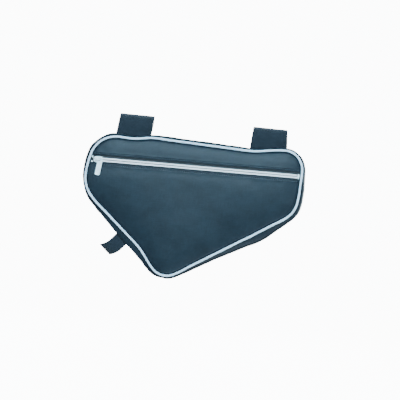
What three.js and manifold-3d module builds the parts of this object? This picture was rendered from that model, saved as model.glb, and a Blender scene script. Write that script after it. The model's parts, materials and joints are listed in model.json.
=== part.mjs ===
// A zipped bag that hangs in the triangle of a bicycle frame: two wide straps close round the top tube
// and a narrow one round the down tube. Millimetres, +Z up. The origin is on the top tube's axis, midway
// between the two wide straps. +X runs along the top tube towards the rear wheel, and the zip faces -Y.

import * as THREE from "three";
import { mergeVertices } from "three/addons/utils/BufferGeometryUtils.js";
import Module from "manifold-3d";

// Sizes of the two tubes that the straps close round
const topTubeRadius = 14.3;
const downTubeRadius = 14.3;
const tubeClearance = 0.35;

// Sizes of the bag's body
const bagLength = 314.5;
const bagHeight = 203.8;
const gussetFlank = 4.95;
const topSeamRise = 1.35;
const gussetWall = 1.5;
const gussetSwell = 12;
const gussetFullness = 4;
const downTubeSwell = 5.2;
const panelWall = 1.5;
const panelCrown = 7;
const crownReach = 25;
const pipingRadius = 2.2;
const pieceGap = 0.3;

// Sizes of the straps
const strapThickness = 1.6;
const topStrapWidth = 50;
const frontStrapInset = 68.5;
const rearStrapInset = 51;
const downStrapWidth = 21.5;
const downStrapReach = 95;
const strapFoldRadius = 3;
const lapDegrees = 42;
const lapBelow = 6.5;

// Sizes of the zip
const zipDropFront = 38.6;
const zipDropRear = 33.2;
const slotAbove = 7;
const slotBelow = 5.1;
const tapeOverlap = 8;
const tapeThickness = 1;
const coilWidth = 2.7;
const coilThickness = 2;
const coilSplit = 0.6;
const topStopReach = 11.6;
const topStopSpread = 3.6;
const topStopLength = 2.6;
const topStopWidth = 2.6;
const bottomStopInset = 4.5;
const bottomStopLength = 3.2;
const bottomStopWidth = 7;
const stopThickness = 1.4;

// Sizes of the slider and its pull
const sliderReach = 20.6;
const sliderLength = 12.6;
const sliderMouthWidth = 8.8;
const sliderShoulderWidth = 9.4;
const sliderPlate = 1.2;
const sliderFlange = 0.9;
const bridgeSpan = 9;
const bridgeWidth = 2.2;
const bridgeLeg = 1.6;
const bridgeWindow = 2;
const bridgeBar = 1.2;
const pullLength = 22.8;
const pullWidth = 7.4;
const pullThickness = 1;
const pullRim = 1.2;
const pullRimHeight = 0.25;
const pullEyeRadius = 1.9;
const pullEyeSlot = 1.2;
const pullEyeWall = 1.4;
const pullLeanDegrees = 8;

// How finely the soft forms are cut into facets
const roundStepDegrees = 15;
const straightStep = 24;
const pipingSides = 8;
const strapArcSteps = 16;

// The straps' seat on the gusset, and the places that follow from it
const loopReach = (tubeRadius) => tubeRadius + tubeClearance + strapThickness;
const seatZ = -(loopReach(topTubeRadius) + pieceGap);
const topSeamZ = seatZ + topSeamRise;
const topStrapSpacing = bagLength - frontStrapInset - rearStrapInset;
const bagFrontX = -(topStrapSpacing / 2 + frontStrapInset);
const panelInset = pipingRadius + pieceGap;

// Across the bag: the flat seat that the straps lie on, a flank each side of it, and then the seams
const seatHalf = loopReach(Math.max(topTubeRadius, downTubeRadius)) + pieceGap;
const gussetHalf = seatHalf + gussetFlank;
const seamDepth = 2 * (gussetHalf + panelInset);

// The seam outline's corners, clockwise as seen from the zip's side. along is the share of the bag's
// length from its front, down the share of its height from the top seam, round the corner's radius as a
// share of the length, and swell how far the gusset stands out past the seam, as a share of its swell.
const alongAt = (x) => (x - bagFrontX) / bagLength;
const seamCorners = [
  { name: "front top", along: 0.045, down: 0.006, round: 0.121, swell: 0.4 },
  { name: "dip under front strap", along: alongAt(-topStrapSpacing / 2), down: 0.018, round: 0.19, swell: 0.3 },
  { name: "end of front strap", along: alongAt(-(topStrapSpacing - topStrapWidth) / 2), down: -0.003, round: 0.13, swell: 0.3 },
  { name: "dip before rear strap", along: alongAt((topStrapSpacing - topStrapWidth) / 2), down: 0.0196, round: 0.19, swell: 0.3 },
  { name: "rear top", along: 1.001, down: -0.03, round: 0.086, swell: 0.3 },
  { name: "rear side", along: 0.9995, down: 0.18, round: 0.1, swell: 0.6 },
  { name: "rear bottom", along: 0.991, down: 0.424, round: 0.1145, swell: 0.6 },
  { name: "fullest of bottom", along: 0.82, down: 0.593, round: 0.1, swell: 0.9 },
  { name: "bottom", along: 0.4045, down: 1, round: 0.0827, swell: 0.35 },
  { name: "pinch below down tube strap", along: 0.2935, down: 0.779, round: 0.19, swell: 0.95 },
  { name: "front bottom", along: 0, down: 0.387, round: 0.153, swell: 0.42 },
];

// The rings of the panels, from the seam inwards, as shares of the way to the panel's middle
const panelRings = [0, 0.03, 0.085, 0.17, 0.32, 0.58];
const panelMiddle = { along: 0.45, down: 0.37 };

// How each strap lies on its tube: lean is its slant along the tube for each unit of height, bow its
// shift at the far side of the tube, and flare its extra width at the bag, as shares of the loop's reach
// and of the strap's width.
const strapTable = [
  { name: "strap_top_front", lean: 0.099, bow: 0, flare: 0.01 },
  { name: "strap_top_rear", lean: 0.005, bow: 0, flare: 0.075 },
  { name: "strap_down_tube", lean: 0, bow: 0.32, flare: 0.02 },
];

const wasm = await Module();
wasm.setup();

function solidFrom(geometry) {
  const loose = geometry.index ? geometry.toNonIndexed() : geometry;
  const bare = new THREE.BufferGeometry().setAttribute("position", loose.getAttribute("position"));
  const merged = mergeVertices(bare, 1e-4);
  const mesh = new wasm.Mesh({
    numProp: 3,
    vertProperties: merged.attributes.position.array,
    triVerts: new Uint32Array(merged.index.array),
  });
  return new wasm.Manifold(mesh);
}

function geometryFrom(solid) {
  const mesh = solid.getMesh();
  const geometry = new THREE.BufferGeometry();
  geometry.setAttribute("position", new THREE.BufferAttribute(mesh.vertProperties, 3));
  geometry.setIndex(new THREE.BufferAttribute(mesh.triVerts, 1));
  const flat = geometry.toNonIndexed();
  flat.computeVertexNormals();
  return flat;
}

// Triangles to a geometry whose faces point out, whichever way round they were listed
function geometryOfTriangles(triangles) {
  const volume = triangles.reduce((sum, [a, b, c]) => sum + a.dot(b.clone().cross(c)), 0);
  const facing = volume < 0 ? triangles.map(([a, b, c]) => [a, c, b]) : triangles;
  const geometry = new THREE.BufferGeometry().setFromPoints(facing.flat());
  geometry.computeVertexNormals();
  return geometry;
}

function bandBetween(ringA, ringB) {
  return ringA.flatMap((point, i) => {
    const next = (i + 1) % ringA.length;
    return [
      [point, ringA[next], ringB[next]],
      [point, ringB[next], ringB[i]],
    ];
  });
}

// Closed sections, each joined to the next and the last to the first
function ringGeometry(sections) {
  return geometryOfTriangles(sections.flatMap((section, i) => bandBetween(section, sections[(i + 1) % sections.length])));
}

// Closed rings between two poles
function capsuleGeometry(startPole, rings, endPole) {
  const fan = (pole, ring) => ring.map((point, i) => [pole, ring[(i + 1) % ring.length], point]);
  const bands = rings.slice(1).flatMap((ring, i) => bandBetween(rings[i], ring));
  return geometryOfTriangles([
    ...fan(startPole, rings[0]),
    ...bands,
    ...fan(endPole, rings[rings.length - 1]).map(([pole, b, c]) => [pole, c, b]),
  ]);
}

// The seam line round the bag, in the XZ plane: straights between rounded corners. Each point has its
// outward normal and how far the gusset swells there.
function seamOutline() {
  const corners = seamCorners.map((row) => ({
    point: cornerPoint(row.name),
    radius: row.round * bagLength,
    swell: row.swell * gussetSwell,
  }));
  const rounds = corners.map((corner, i) => roundedCorner(corner, neighbour(corners, i, -1), neighbour(corners, i, 1)));
  return rounds.flatMap((round, i) => [...round, ...straightBetween(round, neighbour(rounds, i, 1))]);
}

function neighbour(list, index, step) {
  return list[(index + step + list.length) % list.length];
}

function roundedCorner({ point, radius, swell }, before, after) {
  const back = before.point.clone().sub(point).normalize();
  const ahead = after.point.clone().sub(point).normalize();
  const half = Math.acos(THREE.MathUtils.clamp(back.dot(ahead), -1, 1)) / 2;
  const turn = Math.PI - 2 * half;
  const bulge = Math.sign(back.cross(ahead)) || 1;
  const middle = back.clone().add(ahead).normalize();
  const centre = point.clone().addScaledVector(middle, radius / Math.sin(half));
  const steps = Math.max(2, Math.ceil(turn / THREE.MathUtils.degToRad(roundStepDegrees)));
  return Array.from({ length: steps + 1 }, (_, i) => {
    const angle = bulge * turn * (0.5 - i / steps);
    const outward = middle.clone().negate().rotateAround(new THREE.Vector2(), angle);
    return {
      point: centre.clone().addScaledVector(outward, radius),
      normal: outward.multiplyScalar(bulge),
      swell,
    };
  });
}

function straightBetween(round, nextRound) {
  const from = round[round.length - 1];
  const to = nextRound[0];
  const steps = Math.max(1, Math.round(from.point.distanceTo(to.point) / straightStep));
  return Array.from({ length: steps - 1 }, (_, i) => {
    const share = (i + 1) / steps;
    return {
      point: from.point.clone().lerp(to.point, share),
      normal: from.normal.clone().lerp(to.normal, share).normalize(),
      swell: THREE.MathUtils.lerp(from.swell, to.swell, share),
    };
  });
}

const outline = seamOutline();

// The straight stretch of the seam that lies along the down tube: its direction, its outward normal and
// the tube's place beside it
const edgeStart = cornerPoint("front bottom");
const edgeEnd = cornerPoint("pinch below down tube strap");
const edgeAlong = edgeEnd.clone().sub(edgeStart).normalize();
const edgeOut = new THREE.Vector2(edgeAlong.y, -edgeAlong.x);
const downSeat = edgeOut.dot(edgeStart) + downTubeSwell;
const downTubePoint = edgeStart
  .clone()
  .addScaledVector(edgeAlong, downStrapReach)
  .addScaledVector(edgeOut, downTubeSwell + pieceGap + loopReach(downTubeRadius));

function cornerPoint(name) {
  const row = seamCorners.find((corner) => corner.name === name);
  return new THREE.Vector2(bagFrontX + row.along * bagLength, topSeamZ - row.down * bagHeight);
}

// The gusset is the band between the two seams. It swells out between them, but lies flat where a tube
// presses on it.
function gussetSection({ point, normal, swell }) {
  const flank = (share) => seatHalf + gussetFlank * share;
  const outerRows = [gussetHalf, flank(0.65), flank(0.3), seatHalf];
  const innerRows = [gussetHalf, flank(0.5), seatHalf];
  const bothSides = (rows) => [...rows.map((y) => -y), ...rows.toReversed()];
  const rise = (y) => swell * (1 - Math.abs((2 * y) / seamDepth) ** gussetFullness);
  const at = (y, sunk) => {
    const place = pressedByTubes(point.clone().addScaledVector(normal, rise(y)), y);
    place.addScaledVector(normal, -sunk);
    return new THREE.Vector3(place.x, y, place.y);
  };
  return [
    ...bothSides(outerRows).map((y) => at(y, 0)),
    ...bothSides(innerRows).reverse().map((y) => at(y, gussetWall)),
  ];
}

function pressedByTubes(place, y) {
  if (Math.abs(y) > seatHalf) return place;
  const pressed = new THREE.Vector2(place.x, Math.min(place.y, seatZ));
  return pressed.addScaledVector(edgeOut, Math.min(0, downSeat - edgeOut.dot(pressed)));
}

function pipingSection({ point, normal }, side) {
  return Array.from({ length: pipingSides }, (_, i) => {
    const angle = (2 * Math.PI * i) / pipingSides;
    const place = point.clone().addScaledVector(normal, pipingRadius * Math.cos(angle));
    return new THREE.Vector3(place.x, (side * seamDepth) / 2 + pipingRadius * Math.sin(angle), place.y);
  });
}

// The panels' edge inside the piping, and how far the crown stands out at a point of a panel
const panelEdge = outline.map(({ point, normal }) => point.clone().addScaledVector(normal, -panelInset));

function crownAt(place) {
  const distance = Math.min(...panelEdge.map((a, i) => distanceToSegment(place, a, panelEdge[(i + 1) % panelEdge.length])));
  return panelCrown * (1 - Math.exp(-distance / crownReach));
}

function distanceToSegment(place, a, b) {
  const line = b.clone().sub(a);
  const share = THREE.MathUtils.clamp(place.clone().sub(a).dot(line) / line.lengthSq(), 0, 1);
  return place.distanceTo(a.clone().addScaledVector(line, share));
}

// A sheet that follows a panel: its outer face stands off the panel's outer face by lift
function panelSheet(side, lift, thickness) {
  const middle = new THREE.Vector2(bagFrontX + panelMiddle.along * bagLength, topSeamZ - panelMiddle.down * bagHeight);
  const rings = panelRings.map((share) => panelEdge.map((place) => place.clone().lerp(middle, share)));
  const stand = (place) => seamDepth / 2 + panelWall / 2 + crownAt(place) + lift;
  const at = (sunk) => (place) => new THREE.Vector3(place.x, side * (stand(place) - sunk), place.y);
  const outer = rings.map((ring) => ring.map(at(0)));
  const inner = rings.map((ring) => ring.map(at(thickness)));
  return capsuleGeometry(at(0)(middle), [...outer.reverse(), ...inner], at(thickness)(middle));
}

// The zip's own frame: its origin is on the zip's line above the bag's front corner, X runs along the
// zip, and -Y points out of the bag
const zipFront = new THREE.Vector2(bagFrontX, topSeamZ - zipDropFront);
const zipSlope = Math.atan((zipDropFront - zipDropRear) / bagLength);

function zipPlace(along) {
  return zipFront.clone().add(new THREE.Vector2(Math.cos(zipSlope), Math.sin(zipSlope)).multiplyScalar(along));
}

function zipBox(from, to, below, above) {
  const deep = 4 * seamDepth;
  const box = new THREE.BoxGeometry(to - from, deep, above - below);
  box.translate((from + to) / 2, -deep / 2, (below + above) / 2);
  box.rotateY(-zipSlope);
  box.translate(zipFront.x, 0, zipFront.y);
  return solidFrom(box);
}

function zipStrip(lift, thickness, from, to, below, above) {
  return geometryFrom(solidFrom(panelSheet(-1, lift, thickness)).intersect(zipBox(from, to, below, above)));
}

function frontPanel(below, above) {
  return zipStrip(0, panelWall, -bagLength, 2 * bagLength, below, above);
}

// The coil stands on the tape, and the slider's plate lies over the coil
const tapeLift = -(panelWall + pieceGap);
const coilLift = tapeLift + pieceGap + coilThickness;
const plateLift = coilLift + pieceGap;
const bottomStopReach = bagLength - bottomStopInset;

function coilStrand(side) {
  const inner = (side * coilSplit) / 2;
  const outer = side * (coilSplit / 2 + coilWidth);
  const from = topStopReach + topStopLength / 2 + pieceGap;
  const to = bottomStopReach - bottomStopLength / 2 - pieceGap;
  return zipStrip(coilLift, coilThickness, from, to, Math.min(inner, outer), Math.max(inner, outer));
}

function zipStop(reach, length, centre, width) {
  const lift = tapeLift + pieceGap + stopThickness;
  return zipStrip(lift, stopThickness, reach - length / 2, reach + length / 2, centre - width / 2, centre + width / 2);
}

// A plan drawn in the zip's X and Z, extruded outwards from a height over the panel's surface
function platePlan(shape, lift, thickness) {
  const plate = new THREE.ExtrudeGeometry(shape, { depth: thickness, bevelEnabled: false, curveSegments: 6 });
  plate.rotateX(Math.PI / 2);
  plate.translate(0, -lift, 0);
  return plate;
}

function sliderPlan() {
  const half = sliderLength / 2;
  const shoulder = sliderShoulderWidth / 2;
  const mouth = sliderMouthWidth / 2;
  const nick = sliderLength / 6;
  return new THREE.Shape([
    new THREE.Vector2(-half + nick / 2, 0),
    new THREE.Vector2(-half, shoulder * 0.5),
    new THREE.Vector2(-half + nick, shoulder),
    new THREE.Vector2(half - nick / 2, mouth),
    new THREE.Vector2(half, mouth * 0.7),
    new THREE.Vector2(half, -mouth * 0.7),
    new THREE.Vector2(half - nick / 2, -mouth),
    new THREE.Vector2(-half + nick, -shoulder),
    new THREE.Vector2(-half, -shoulder * 0.5),
  ]);
}

// The slider is one casting: a plate over the coil, a flange down each side of it, and the bridge that
// the pull's eye hangs on
function sliderGeometry() {
  const skirtDepth = plateLift - tapeLift - pieceGap;
  const skirt = solidFrom(platePlan(sliderPlan(), plateLift - skirtDepth, skirtDepth));
  const channelHalf = Math.max(coilSplit / 2 + coilWidth + pieceGap, sliderMouthWidth / 2 - sliderFlange);
  const channel = new THREE.BoxGeometry(2 * sliderLength, 4 * skirtDepth, 2 * channelHalf);
  const flanges = skirt.subtract(solidFrom(channel));
  const plate = solidFrom(platePlan(sliderPlan(), plateLift - pieceGap / 10, sliderPlate + pieceGap / 10));
  return geometryFrom(plate.add(flanges).add(solidFrom(bridgeGeometry())));
}

function bridgeGeometry() {
  const half = bridgeSpan / 2;
  const foot = -sliderPlate / 2;
  const arch = new THREE.Shape();
  arch.moveTo(-half, foot);
  arch.lineTo(-half, bridgeWindow);
  arch.lineTo(-half + bridgeBar, bridgeWindow + bridgeBar);
  arch.lineTo(half - bridgeBar, bridgeWindow + bridgeBar);
  arch.lineTo(half, bridgeWindow);
  arch.lineTo(half, foot);
  arch.lineTo(half - bridgeLeg, foot);
  arch.lineTo(half - bridgeLeg, bridgeWindow);
  arch.lineTo(-half + bridgeLeg, bridgeWindow);
  arch.lineTo(-half + bridgeLeg, foot);
  const bar = new THREE.ExtrudeGeometry(arch, { depth: bridgeWidth, bevelEnabled: false });
  bar.translate(0, 0, -bridgeWidth / 2);
  bar.rotateX(Math.PI);
  bar.translate(0, -(plateLift + sliderPlate), 0);
  return bar;
}

// The pull hangs from the bridge's rear leg, which stands at the top of its slotted eye. Its origin is
// that leg.
const pegX = bridgeSpan / 2 - bridgeLeg / 2;

function tabPlan() {
  const half = pullWidth / 2;
  const cap = pullEyeRadius + pullEyeWall;
  const foot = -pullLength;
  const corner = half / 2;
  const tab = new THREE.Shape();
  tab.moveTo(-half, -2 * cap);
  tab.lineTo(-cap, 0);
  tab.absarc(0, 0, cap, Math.PI, 0, true);
  tab.lineTo(half, -2 * cap);
  tab.lineTo(half, foot + corner);
  tab.absarc(half - corner, foot + corner, corner, 0, -Math.PI / 2, true);
  tab.lineTo(-half + corner, foot);
  tab.absarc(-half + corner, foot + corner, corner, -Math.PI / 2, -Math.PI, true);
  tab.closePath();
  return tab;
}

function eyeHole() {
  const hole = new THREE.Path();
  hole.absarc(0, 0, pullEyeRadius, 0, Math.PI, false);
  hole.absarc(0, -pullEyeSlot, pullEyeRadius, Math.PI, 2 * Math.PI, false);
  hole.closePath();
  return hole;
}

function recessHole() {
  const half = pullWidth / 2 - pullRim;
  const top = -(pullEyeSlot + pullEyeRadius + pullRim);
  const foot = -(pullLength - pullRim);
  const hole = new THREE.Path();
  hole.absarc(0, top - half, half, 0, Math.PI, false);
  hole.absarc(0, foot + half, half, Math.PI, 2 * Math.PI, false);
  hole.closePath();
  return hole;
}

function pullGeometry() {
  const gap = (bridgeWindow - pullThickness - pullRimHeight) / 2;
  const lift = plateLift + sliderPlate + gap;
  const tab = tabPlan();
  tab.holes.push(eyeHole());
  const rim = tabPlan();
  rim.holes.push(eyeHole(), recessHole());
  const plate = solidFrom(platePlan(tab, lift, pullThickness));
  return geometryFrom(plate.add(solidFrom(platePlan(rim, lift, pullThickness + pullRimHeight))));
}

// A strap's section, seen along its tube: down the back, under the tube, up the front, over the top and
// down the back again, outside its own end. y is across the bag and h is the height over the tube's axis.
function strapMidline(tubeRadius) {
  const inner = tubeRadius + tubeClearance + strapThickness / 2;
  const outer = inner + strapThickness + pieceGap;
  const fold = strapFoldRadius;
  const arc = (y, h, from, to, steps) =>
    Array.from({ length: steps + 1 }, (_, i) => {
      const angle = THREE.MathUtils.lerp(from, to, i / steps);
      return new THREE.Vector2(y + fold * Math.cos(angle), h + fold * Math.sin(angle));
    });
  const lapAngle = THREE.MathUtils.degToRad(lapDegrees);
  const lapSteps = Math.ceil((strapArcSteps * lapDegrees) / 180);
  const underLap = Array.from({ length: lapSteps }, (_, i) => {
    const angle = lapAngle * (1 - i / lapSteps);
    return new THREE.Vector2(inner * Math.cos(angle), inner * Math.sin(angle));
  });
  const over = Array.from({ length: strapArcSteps + 1 }, (_, i) => {
    const share = i / strapArcSteps;
    const angle = Math.PI * (1 - share);
    const radius = THREE.MathUtils.lerp(inner, outer, THREE.MathUtils.smoothstep(share, 0.3, 1 - (lapDegrees + 15) / 180));
    return new THREE.Vector2(radius * Math.cos(angle), radius * Math.sin(angle));
  });
  return [
    ...underLap,
    new THREE.Vector2(inner, 0),
    ...arc(inner - fold, -inner + fold, 0, -Math.PI / 2, 4),
    ...arc(-inner + fold, -inner + fold, -Math.PI / 2, -Math.PI, 4),
    ...over,
    new THREE.Vector2(outer, -lapBelow),
  ];
}

function strapSection(tubeRadius) {
  const line = strapMidline(tubeRadius);
  const sideOf = (i, side) => {
    const ahead = line[Math.min(i + 1, line.length - 1)].clone();
    const tangent = ahead.sub(line[Math.max(i - 1, 0)]).normalize();
    return line[i].clone().add(new THREE.Vector2(-tangent.y, tangent.x).multiplyScalar((side * strapThickness) / 2));
  };
  return [...line.map((_, i) => sideOf(i, 1)), ...line.map((_, i) => sideOf(i, -1)).reverse()];
}

function strapGeometry(tubeRadius, width, { lean, bow, flare }) {
  const reach = loopReach(tubeRadius);
  const strip = new THREE.ExtrudeGeometry(new THREE.Shape(strapSection(tubeRadius)), { depth: 1, bevelEnabled: false });
  const position = strip.getAttribute("position");
  for (let i = 0; i < position.count; i += 1) {
    const [y, h, side] = [position.getX(i), position.getY(i), position.getZ(i) - 0.5];
    const nearBag = THREE.MathUtils.clamp((reach - h) / (2 * reach), 0, 1);
    const far = Math.max(h / reach, 0);
    const x = side * width * (1 + flare * nearBag) + lean * h + bow * reach * far * far;
    position.setXYZ(i, x, y, h);
  }
  return geometryFrom(solidFrom(strip));
}

// The cloths and the metal
const cloth = (name, colour, roughness) => new THREE.MeshStandardMaterial({ name, color: colour, roughness, metalness: 0 });
const bodyCloth = cloth("body_cloth", 0x2c3e4c, 0.75);
const strapCloth = cloth("strap_tape", 0x253440, 0.85);
const pipingCloth = cloth("piping_cloth", 0xb4c2d2, 0.6);
const tapeCloth = cloth("zip_tape", 0x1c2933, 0.85);
const coilNylon = cloth("zip_coil", 0xc3cfde, 0.4);
const zipMetal = new THREE.MeshStandardMaterial({ name: "zip_metal", color: 0xd2dde2, roughness: 0.3, metalness: 0.9 });

const bag = new THREE.Group();

function addPiece(name, geometry, material, parent = bag) {
  const mesh = new THREE.Mesh(geometry, material);
  mesh.name = name;
  parent.add(mesh);
  return mesh;
}

addPiece("gusset", ringGeometry(outline.map(gussetSection)), bodyCloth);
addPiece("back_panel", panelSheet(1, 0, panelWall), bodyCloth);
addPiece("front_panel_upper", frontPanel(slotAbove, bagHeight), bodyCloth);
addPiece("front_panel_lower", frontPanel(-bagHeight, -slotBelow), bodyCloth);
addPiece("piping_front", ringGeometry(outline.map((row) => pipingSection(row, -1))), pipingCloth);
addPiece("piping_back", ringGeometry(outline.map((row) => pipingSection(row, 1))), pipingCloth);

const tapeBelow = -(slotBelow + tapeOverlap);
const tapeAbove = slotAbove + tapeOverlap;
addPiece("zip_tape", zipStrip(tapeLift, tapeThickness, -bagLength, 2 * bagLength, tapeBelow, tapeAbove), tapeCloth);
addPiece("zip_coil_upper", coilStrand(1), coilNylon);
addPiece("zip_coil_lower", coilStrand(-1), coilNylon);
addPiece("zip_top_stop_upper", zipStop(topStopReach, topStopLength, topStopSpread, topStopWidth), zipMetal);
addPiece("zip_top_stop_lower", zipStop(topStopReach, topStopLength, -topStopSpread, topStopWidth), zipMetal);
addPiece("zip_bottom_stop", zipStop(bottomStopReach, bottomStopLength, 0, bottomStopWidth), zipMetal);

// The slider lies on the panel's surface, tilted as the surface is there
const sliderPlace = zipPlace(sliderReach);
const surfaceSlope = (crownAt(zipPlace(sliderReach + 1)) - crownAt(zipPlace(sliderReach - 1))) / 2;
const slider = new THREE.Group();
slider.position.set(sliderPlace.x, -(seamDepth / 2 + panelWall / 2 + crownAt(sliderPlace)), sliderPlace.y);
slider.rotation.set(0, -zipSlope, -Math.atan(surfaceSlope), "ZYX");
bag.add(slider);
addPiece("zip_slider", sliderGeometry(), zipMetal, slider);
const pull = addPiece("zip_pull", pullGeometry(), zipMetal, slider);
pull.position.set(pegX, 0, 0);
pull.rotation.y = THREE.MathUtils.degToRad(pullLeanDegrees);

const [frontStrap, rearStrap, lowStrap] = strapTable;
const topStraps = [
  { row: frontStrap, x: -topStrapSpacing / 2 },
  { row: rearStrap, x: topStrapSpacing / 2 },
];
for (const { row, x } of topStraps) {
  addPiece(row.name, strapGeometry(topTubeRadius, topStrapWidth, row), strapCloth).position.set(x, 0, 0);
}
const lowLoop = addPiece(lowStrap.name, strapGeometry(downTubeRadius, downStrapWidth, lowStrap), strapCloth);
lowLoop.position.set(downTubePoint.x, 0, downTubePoint.y);
lowLoop.rotation.y = Math.PI + Math.atan2(-edgeAlong.y, edgeAlong.x);

export default bag;
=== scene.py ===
# %% [markdown]
# # A bicycle frame bag, dressed for a studio picture
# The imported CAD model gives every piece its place. This script keeps that frame and makes the cloth, the
# piping, the zip and the straps as fine meshes round it. Each markdown cell says what a piece is on the
# real bag, how it could be made in Blender, and why this way was chosen.

import json
import math

import bmesh
import bpy
import numpy as np
from mathutils import Matrix, Vector
from mathutils.bvhtree import BVHTree
from mathutils.geometry import delaunay_2d_cdt


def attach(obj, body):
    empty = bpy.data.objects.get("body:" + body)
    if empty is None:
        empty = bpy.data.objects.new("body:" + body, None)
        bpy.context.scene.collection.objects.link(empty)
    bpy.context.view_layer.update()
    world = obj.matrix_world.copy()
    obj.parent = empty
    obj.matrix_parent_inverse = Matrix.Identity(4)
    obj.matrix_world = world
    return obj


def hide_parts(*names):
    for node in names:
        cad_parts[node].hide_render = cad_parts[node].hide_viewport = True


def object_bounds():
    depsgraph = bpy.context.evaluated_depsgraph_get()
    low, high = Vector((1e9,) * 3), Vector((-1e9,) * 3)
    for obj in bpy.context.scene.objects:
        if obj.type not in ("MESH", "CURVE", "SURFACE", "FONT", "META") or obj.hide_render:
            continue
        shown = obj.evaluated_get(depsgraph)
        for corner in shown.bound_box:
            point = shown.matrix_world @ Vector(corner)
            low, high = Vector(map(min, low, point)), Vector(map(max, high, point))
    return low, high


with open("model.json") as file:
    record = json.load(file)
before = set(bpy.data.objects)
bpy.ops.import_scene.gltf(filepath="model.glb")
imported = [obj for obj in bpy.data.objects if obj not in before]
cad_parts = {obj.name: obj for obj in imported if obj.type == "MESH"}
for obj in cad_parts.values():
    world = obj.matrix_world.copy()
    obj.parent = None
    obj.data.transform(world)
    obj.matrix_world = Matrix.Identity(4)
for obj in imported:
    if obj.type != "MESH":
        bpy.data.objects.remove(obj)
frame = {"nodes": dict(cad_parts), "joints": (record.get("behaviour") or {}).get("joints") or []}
cad_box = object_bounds()
MM = 0.001

# %% [markdown]
# ## Camera, light and floor
# The photograph looks straight at the zip's side from about four metres, level with the bag's middle, and
# the whole picture is turned a little because the top tube slopes. A camera shift would frame it too, but
# aiming the camera at the picture's centre and rolling it keeps every other view simple.

# %% Camera
PHOTO_MM_PER_PIXEL = 1.45
PHOTO_PIXELS = 400
TOP_TUBE_SLOPE = math.radians(5.9)
ORIGIN_PIXEL = (202.5, 133.3)
CAMERA_PLACE = Vector((0.0, -4.0, -0.105))
SENSOR = 36.0


def photo_to_bag(pixel_x, pixel_y):
    """The point of the bag's middle plane that lies behind a pixel of the photograph, in metres."""
    right = (pixel_x - ORIGIN_PIXEL[0]) * PHOTO_MM_PER_PIXEL * MM
    down = (pixel_y - ORIGIN_PIXEL[1]) * PHOTO_MM_PER_PIXEL * MM
    x, z = Matrix.Rotation(TOP_TUBE_SLOPE, 2) @ Vector((right, -down))
    return Vector((x, 0.0, z))


def aim(obj, place, target, roll=0.0):
    """Puts an object at a place and turns its -Z axis to the target."""
    obj.location = place
    turned = (target - place).to_track_quat("-Z", "Y").to_matrix().to_4x4()
    obj.rotation_euler = (turned @ Matrix.Rotation(roll, 4, "Z")).to_euler()


scene = bpy.context.scene
camera = bpy.data.objects.new("photo_camera", bpy.data.cameras.new("photo_camera"))
scene.collection.objects.link(camera)
picture_centre = photo_to_bag(PHOTO_PIXELS / 2, PHOTO_PIXELS / 2)
aim(camera, CAMERA_PLACE, picture_centre, TOP_TUBE_SLOPE)
camera.data.sensor_width = SENSOR
distance = (picture_centre - CAMERA_PLACE).length
camera.data.lens = SENSOR * distance / (PHOTO_PIXELS * PHOTO_MM_PER_PIXEL * MM)
scene.camera = camera
print("camera aims at", [round(v, 4) for v in picture_centre], "with lens", round(camera.data.lens, 1))

# %% Floor, white surround and lamps
FLOOR_DROP = 0.16
FLOOR_RADIUS = 9.0
SURROUND_RADIUS = 9.5
SURROUND_LEVELS = np.radians(np.arange(-80, 90, 10))
STAGE_SIDES = 96
STAGE_PAPER = {
    "Base Color": (0.12, 0.12, 0.12, 1.0),
    "Roughness": 0.9,
    "Emission Color": (0.97, 0.99, 1.0, 1.0),
    "Emission Strength": 12.0,
}
WORLD_LIGHT = {"Color": (0.95, 0.975, 1.0, 1.0), "Strength": 0.38}
BAG_MIDDLE = Vector((0.0, 0.0, -0.1))
# Each lamp's place, its side in metres, its watts and its colour.
LAMPS = {
    "high_softbox": ((0.1, -1.7, 0.88), 1.0, 112, (0.66, 0.90, 1.0)),
    "front_fill": ((1.7, -1.7, 0.0), 1.2, 20, (0.70, 0.90, 1.0)),
    "side_fill": ((-2.0, -1.4, 0.1), 1.2, 30, (0.70, 0.90, 1.0)),
    "back_softbox": ((-0.3, 1.8, 0.9), 1.0, 95, (0.72, 0.90, 1.0)),
    "back_fill": ((1.7, 1.4, -0.1), 1.2, 46, (0.72, 0.90, 1.0)),
    "low_fill": ((0.5, -0.7, -1.7), 1.2, 36, (0.80, 0.95, 1.0)),
}


def set_sockets(node, values):
    """Sets a node's inputs by name."""
    for key, value in values.items():
        node.inputs[key].default_value = value


def see_through_below(paper):
    """Clears the paper's underside, so that the bag can also be looked at from below the floor."""
    tree = paper.node_tree
    clear = tree.nodes.new("ShaderNodeBsdfTransparent")
    side = tree.nodes.new("ShaderNodeNewGeometry")
    mix = tree.nodes.new("ShaderNodeMixShader")
    tree.links.new(side.outputs["Backfacing"], mix.inputs["Fac"])
    tree.links.new(tree.nodes["Principled BSDF"].outputs[0], mix.inputs[1])
    tree.links.new(clear.outputs[0], mix.inputs[2])
    tree.links.new(mix.outputs[0], tree.nodes["Material Output"].inputs["Surface"])


def grid_faces(rows, columns, close_rows=False, close_columns=False):
    """Quads between the points of a grid whose vertices are listed row by row."""
    i = np.arange(rows if close_rows else rows - 1)
    j = np.arange(columns if close_columns else columns - 1)
    i, j = np.meshgrid(i, j, indexing="ij")
    a = i * columns + j
    b = i * columns + (j + 1) % columns
    c = ((i + 1) % rows) * columns + (j + 1) % columns
    d = ((i + 1) % rows) * columns + j
    return np.stack([a, b, c, d], -1).reshape(-1, 4)


def add_mesh(name, verts, faces):
    """A mesh object in the scene, from vertices in metres."""
    mesh = bpy.data.meshes.new(name)
    mesh.from_pydata(np.asarray(verts).tolist(), [], [tuple(map(int, face)) for face in faces])
    obj = bpy.data.objects.new(name, mesh)
    scene.collection.objects.link(obj)
    return obj


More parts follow.
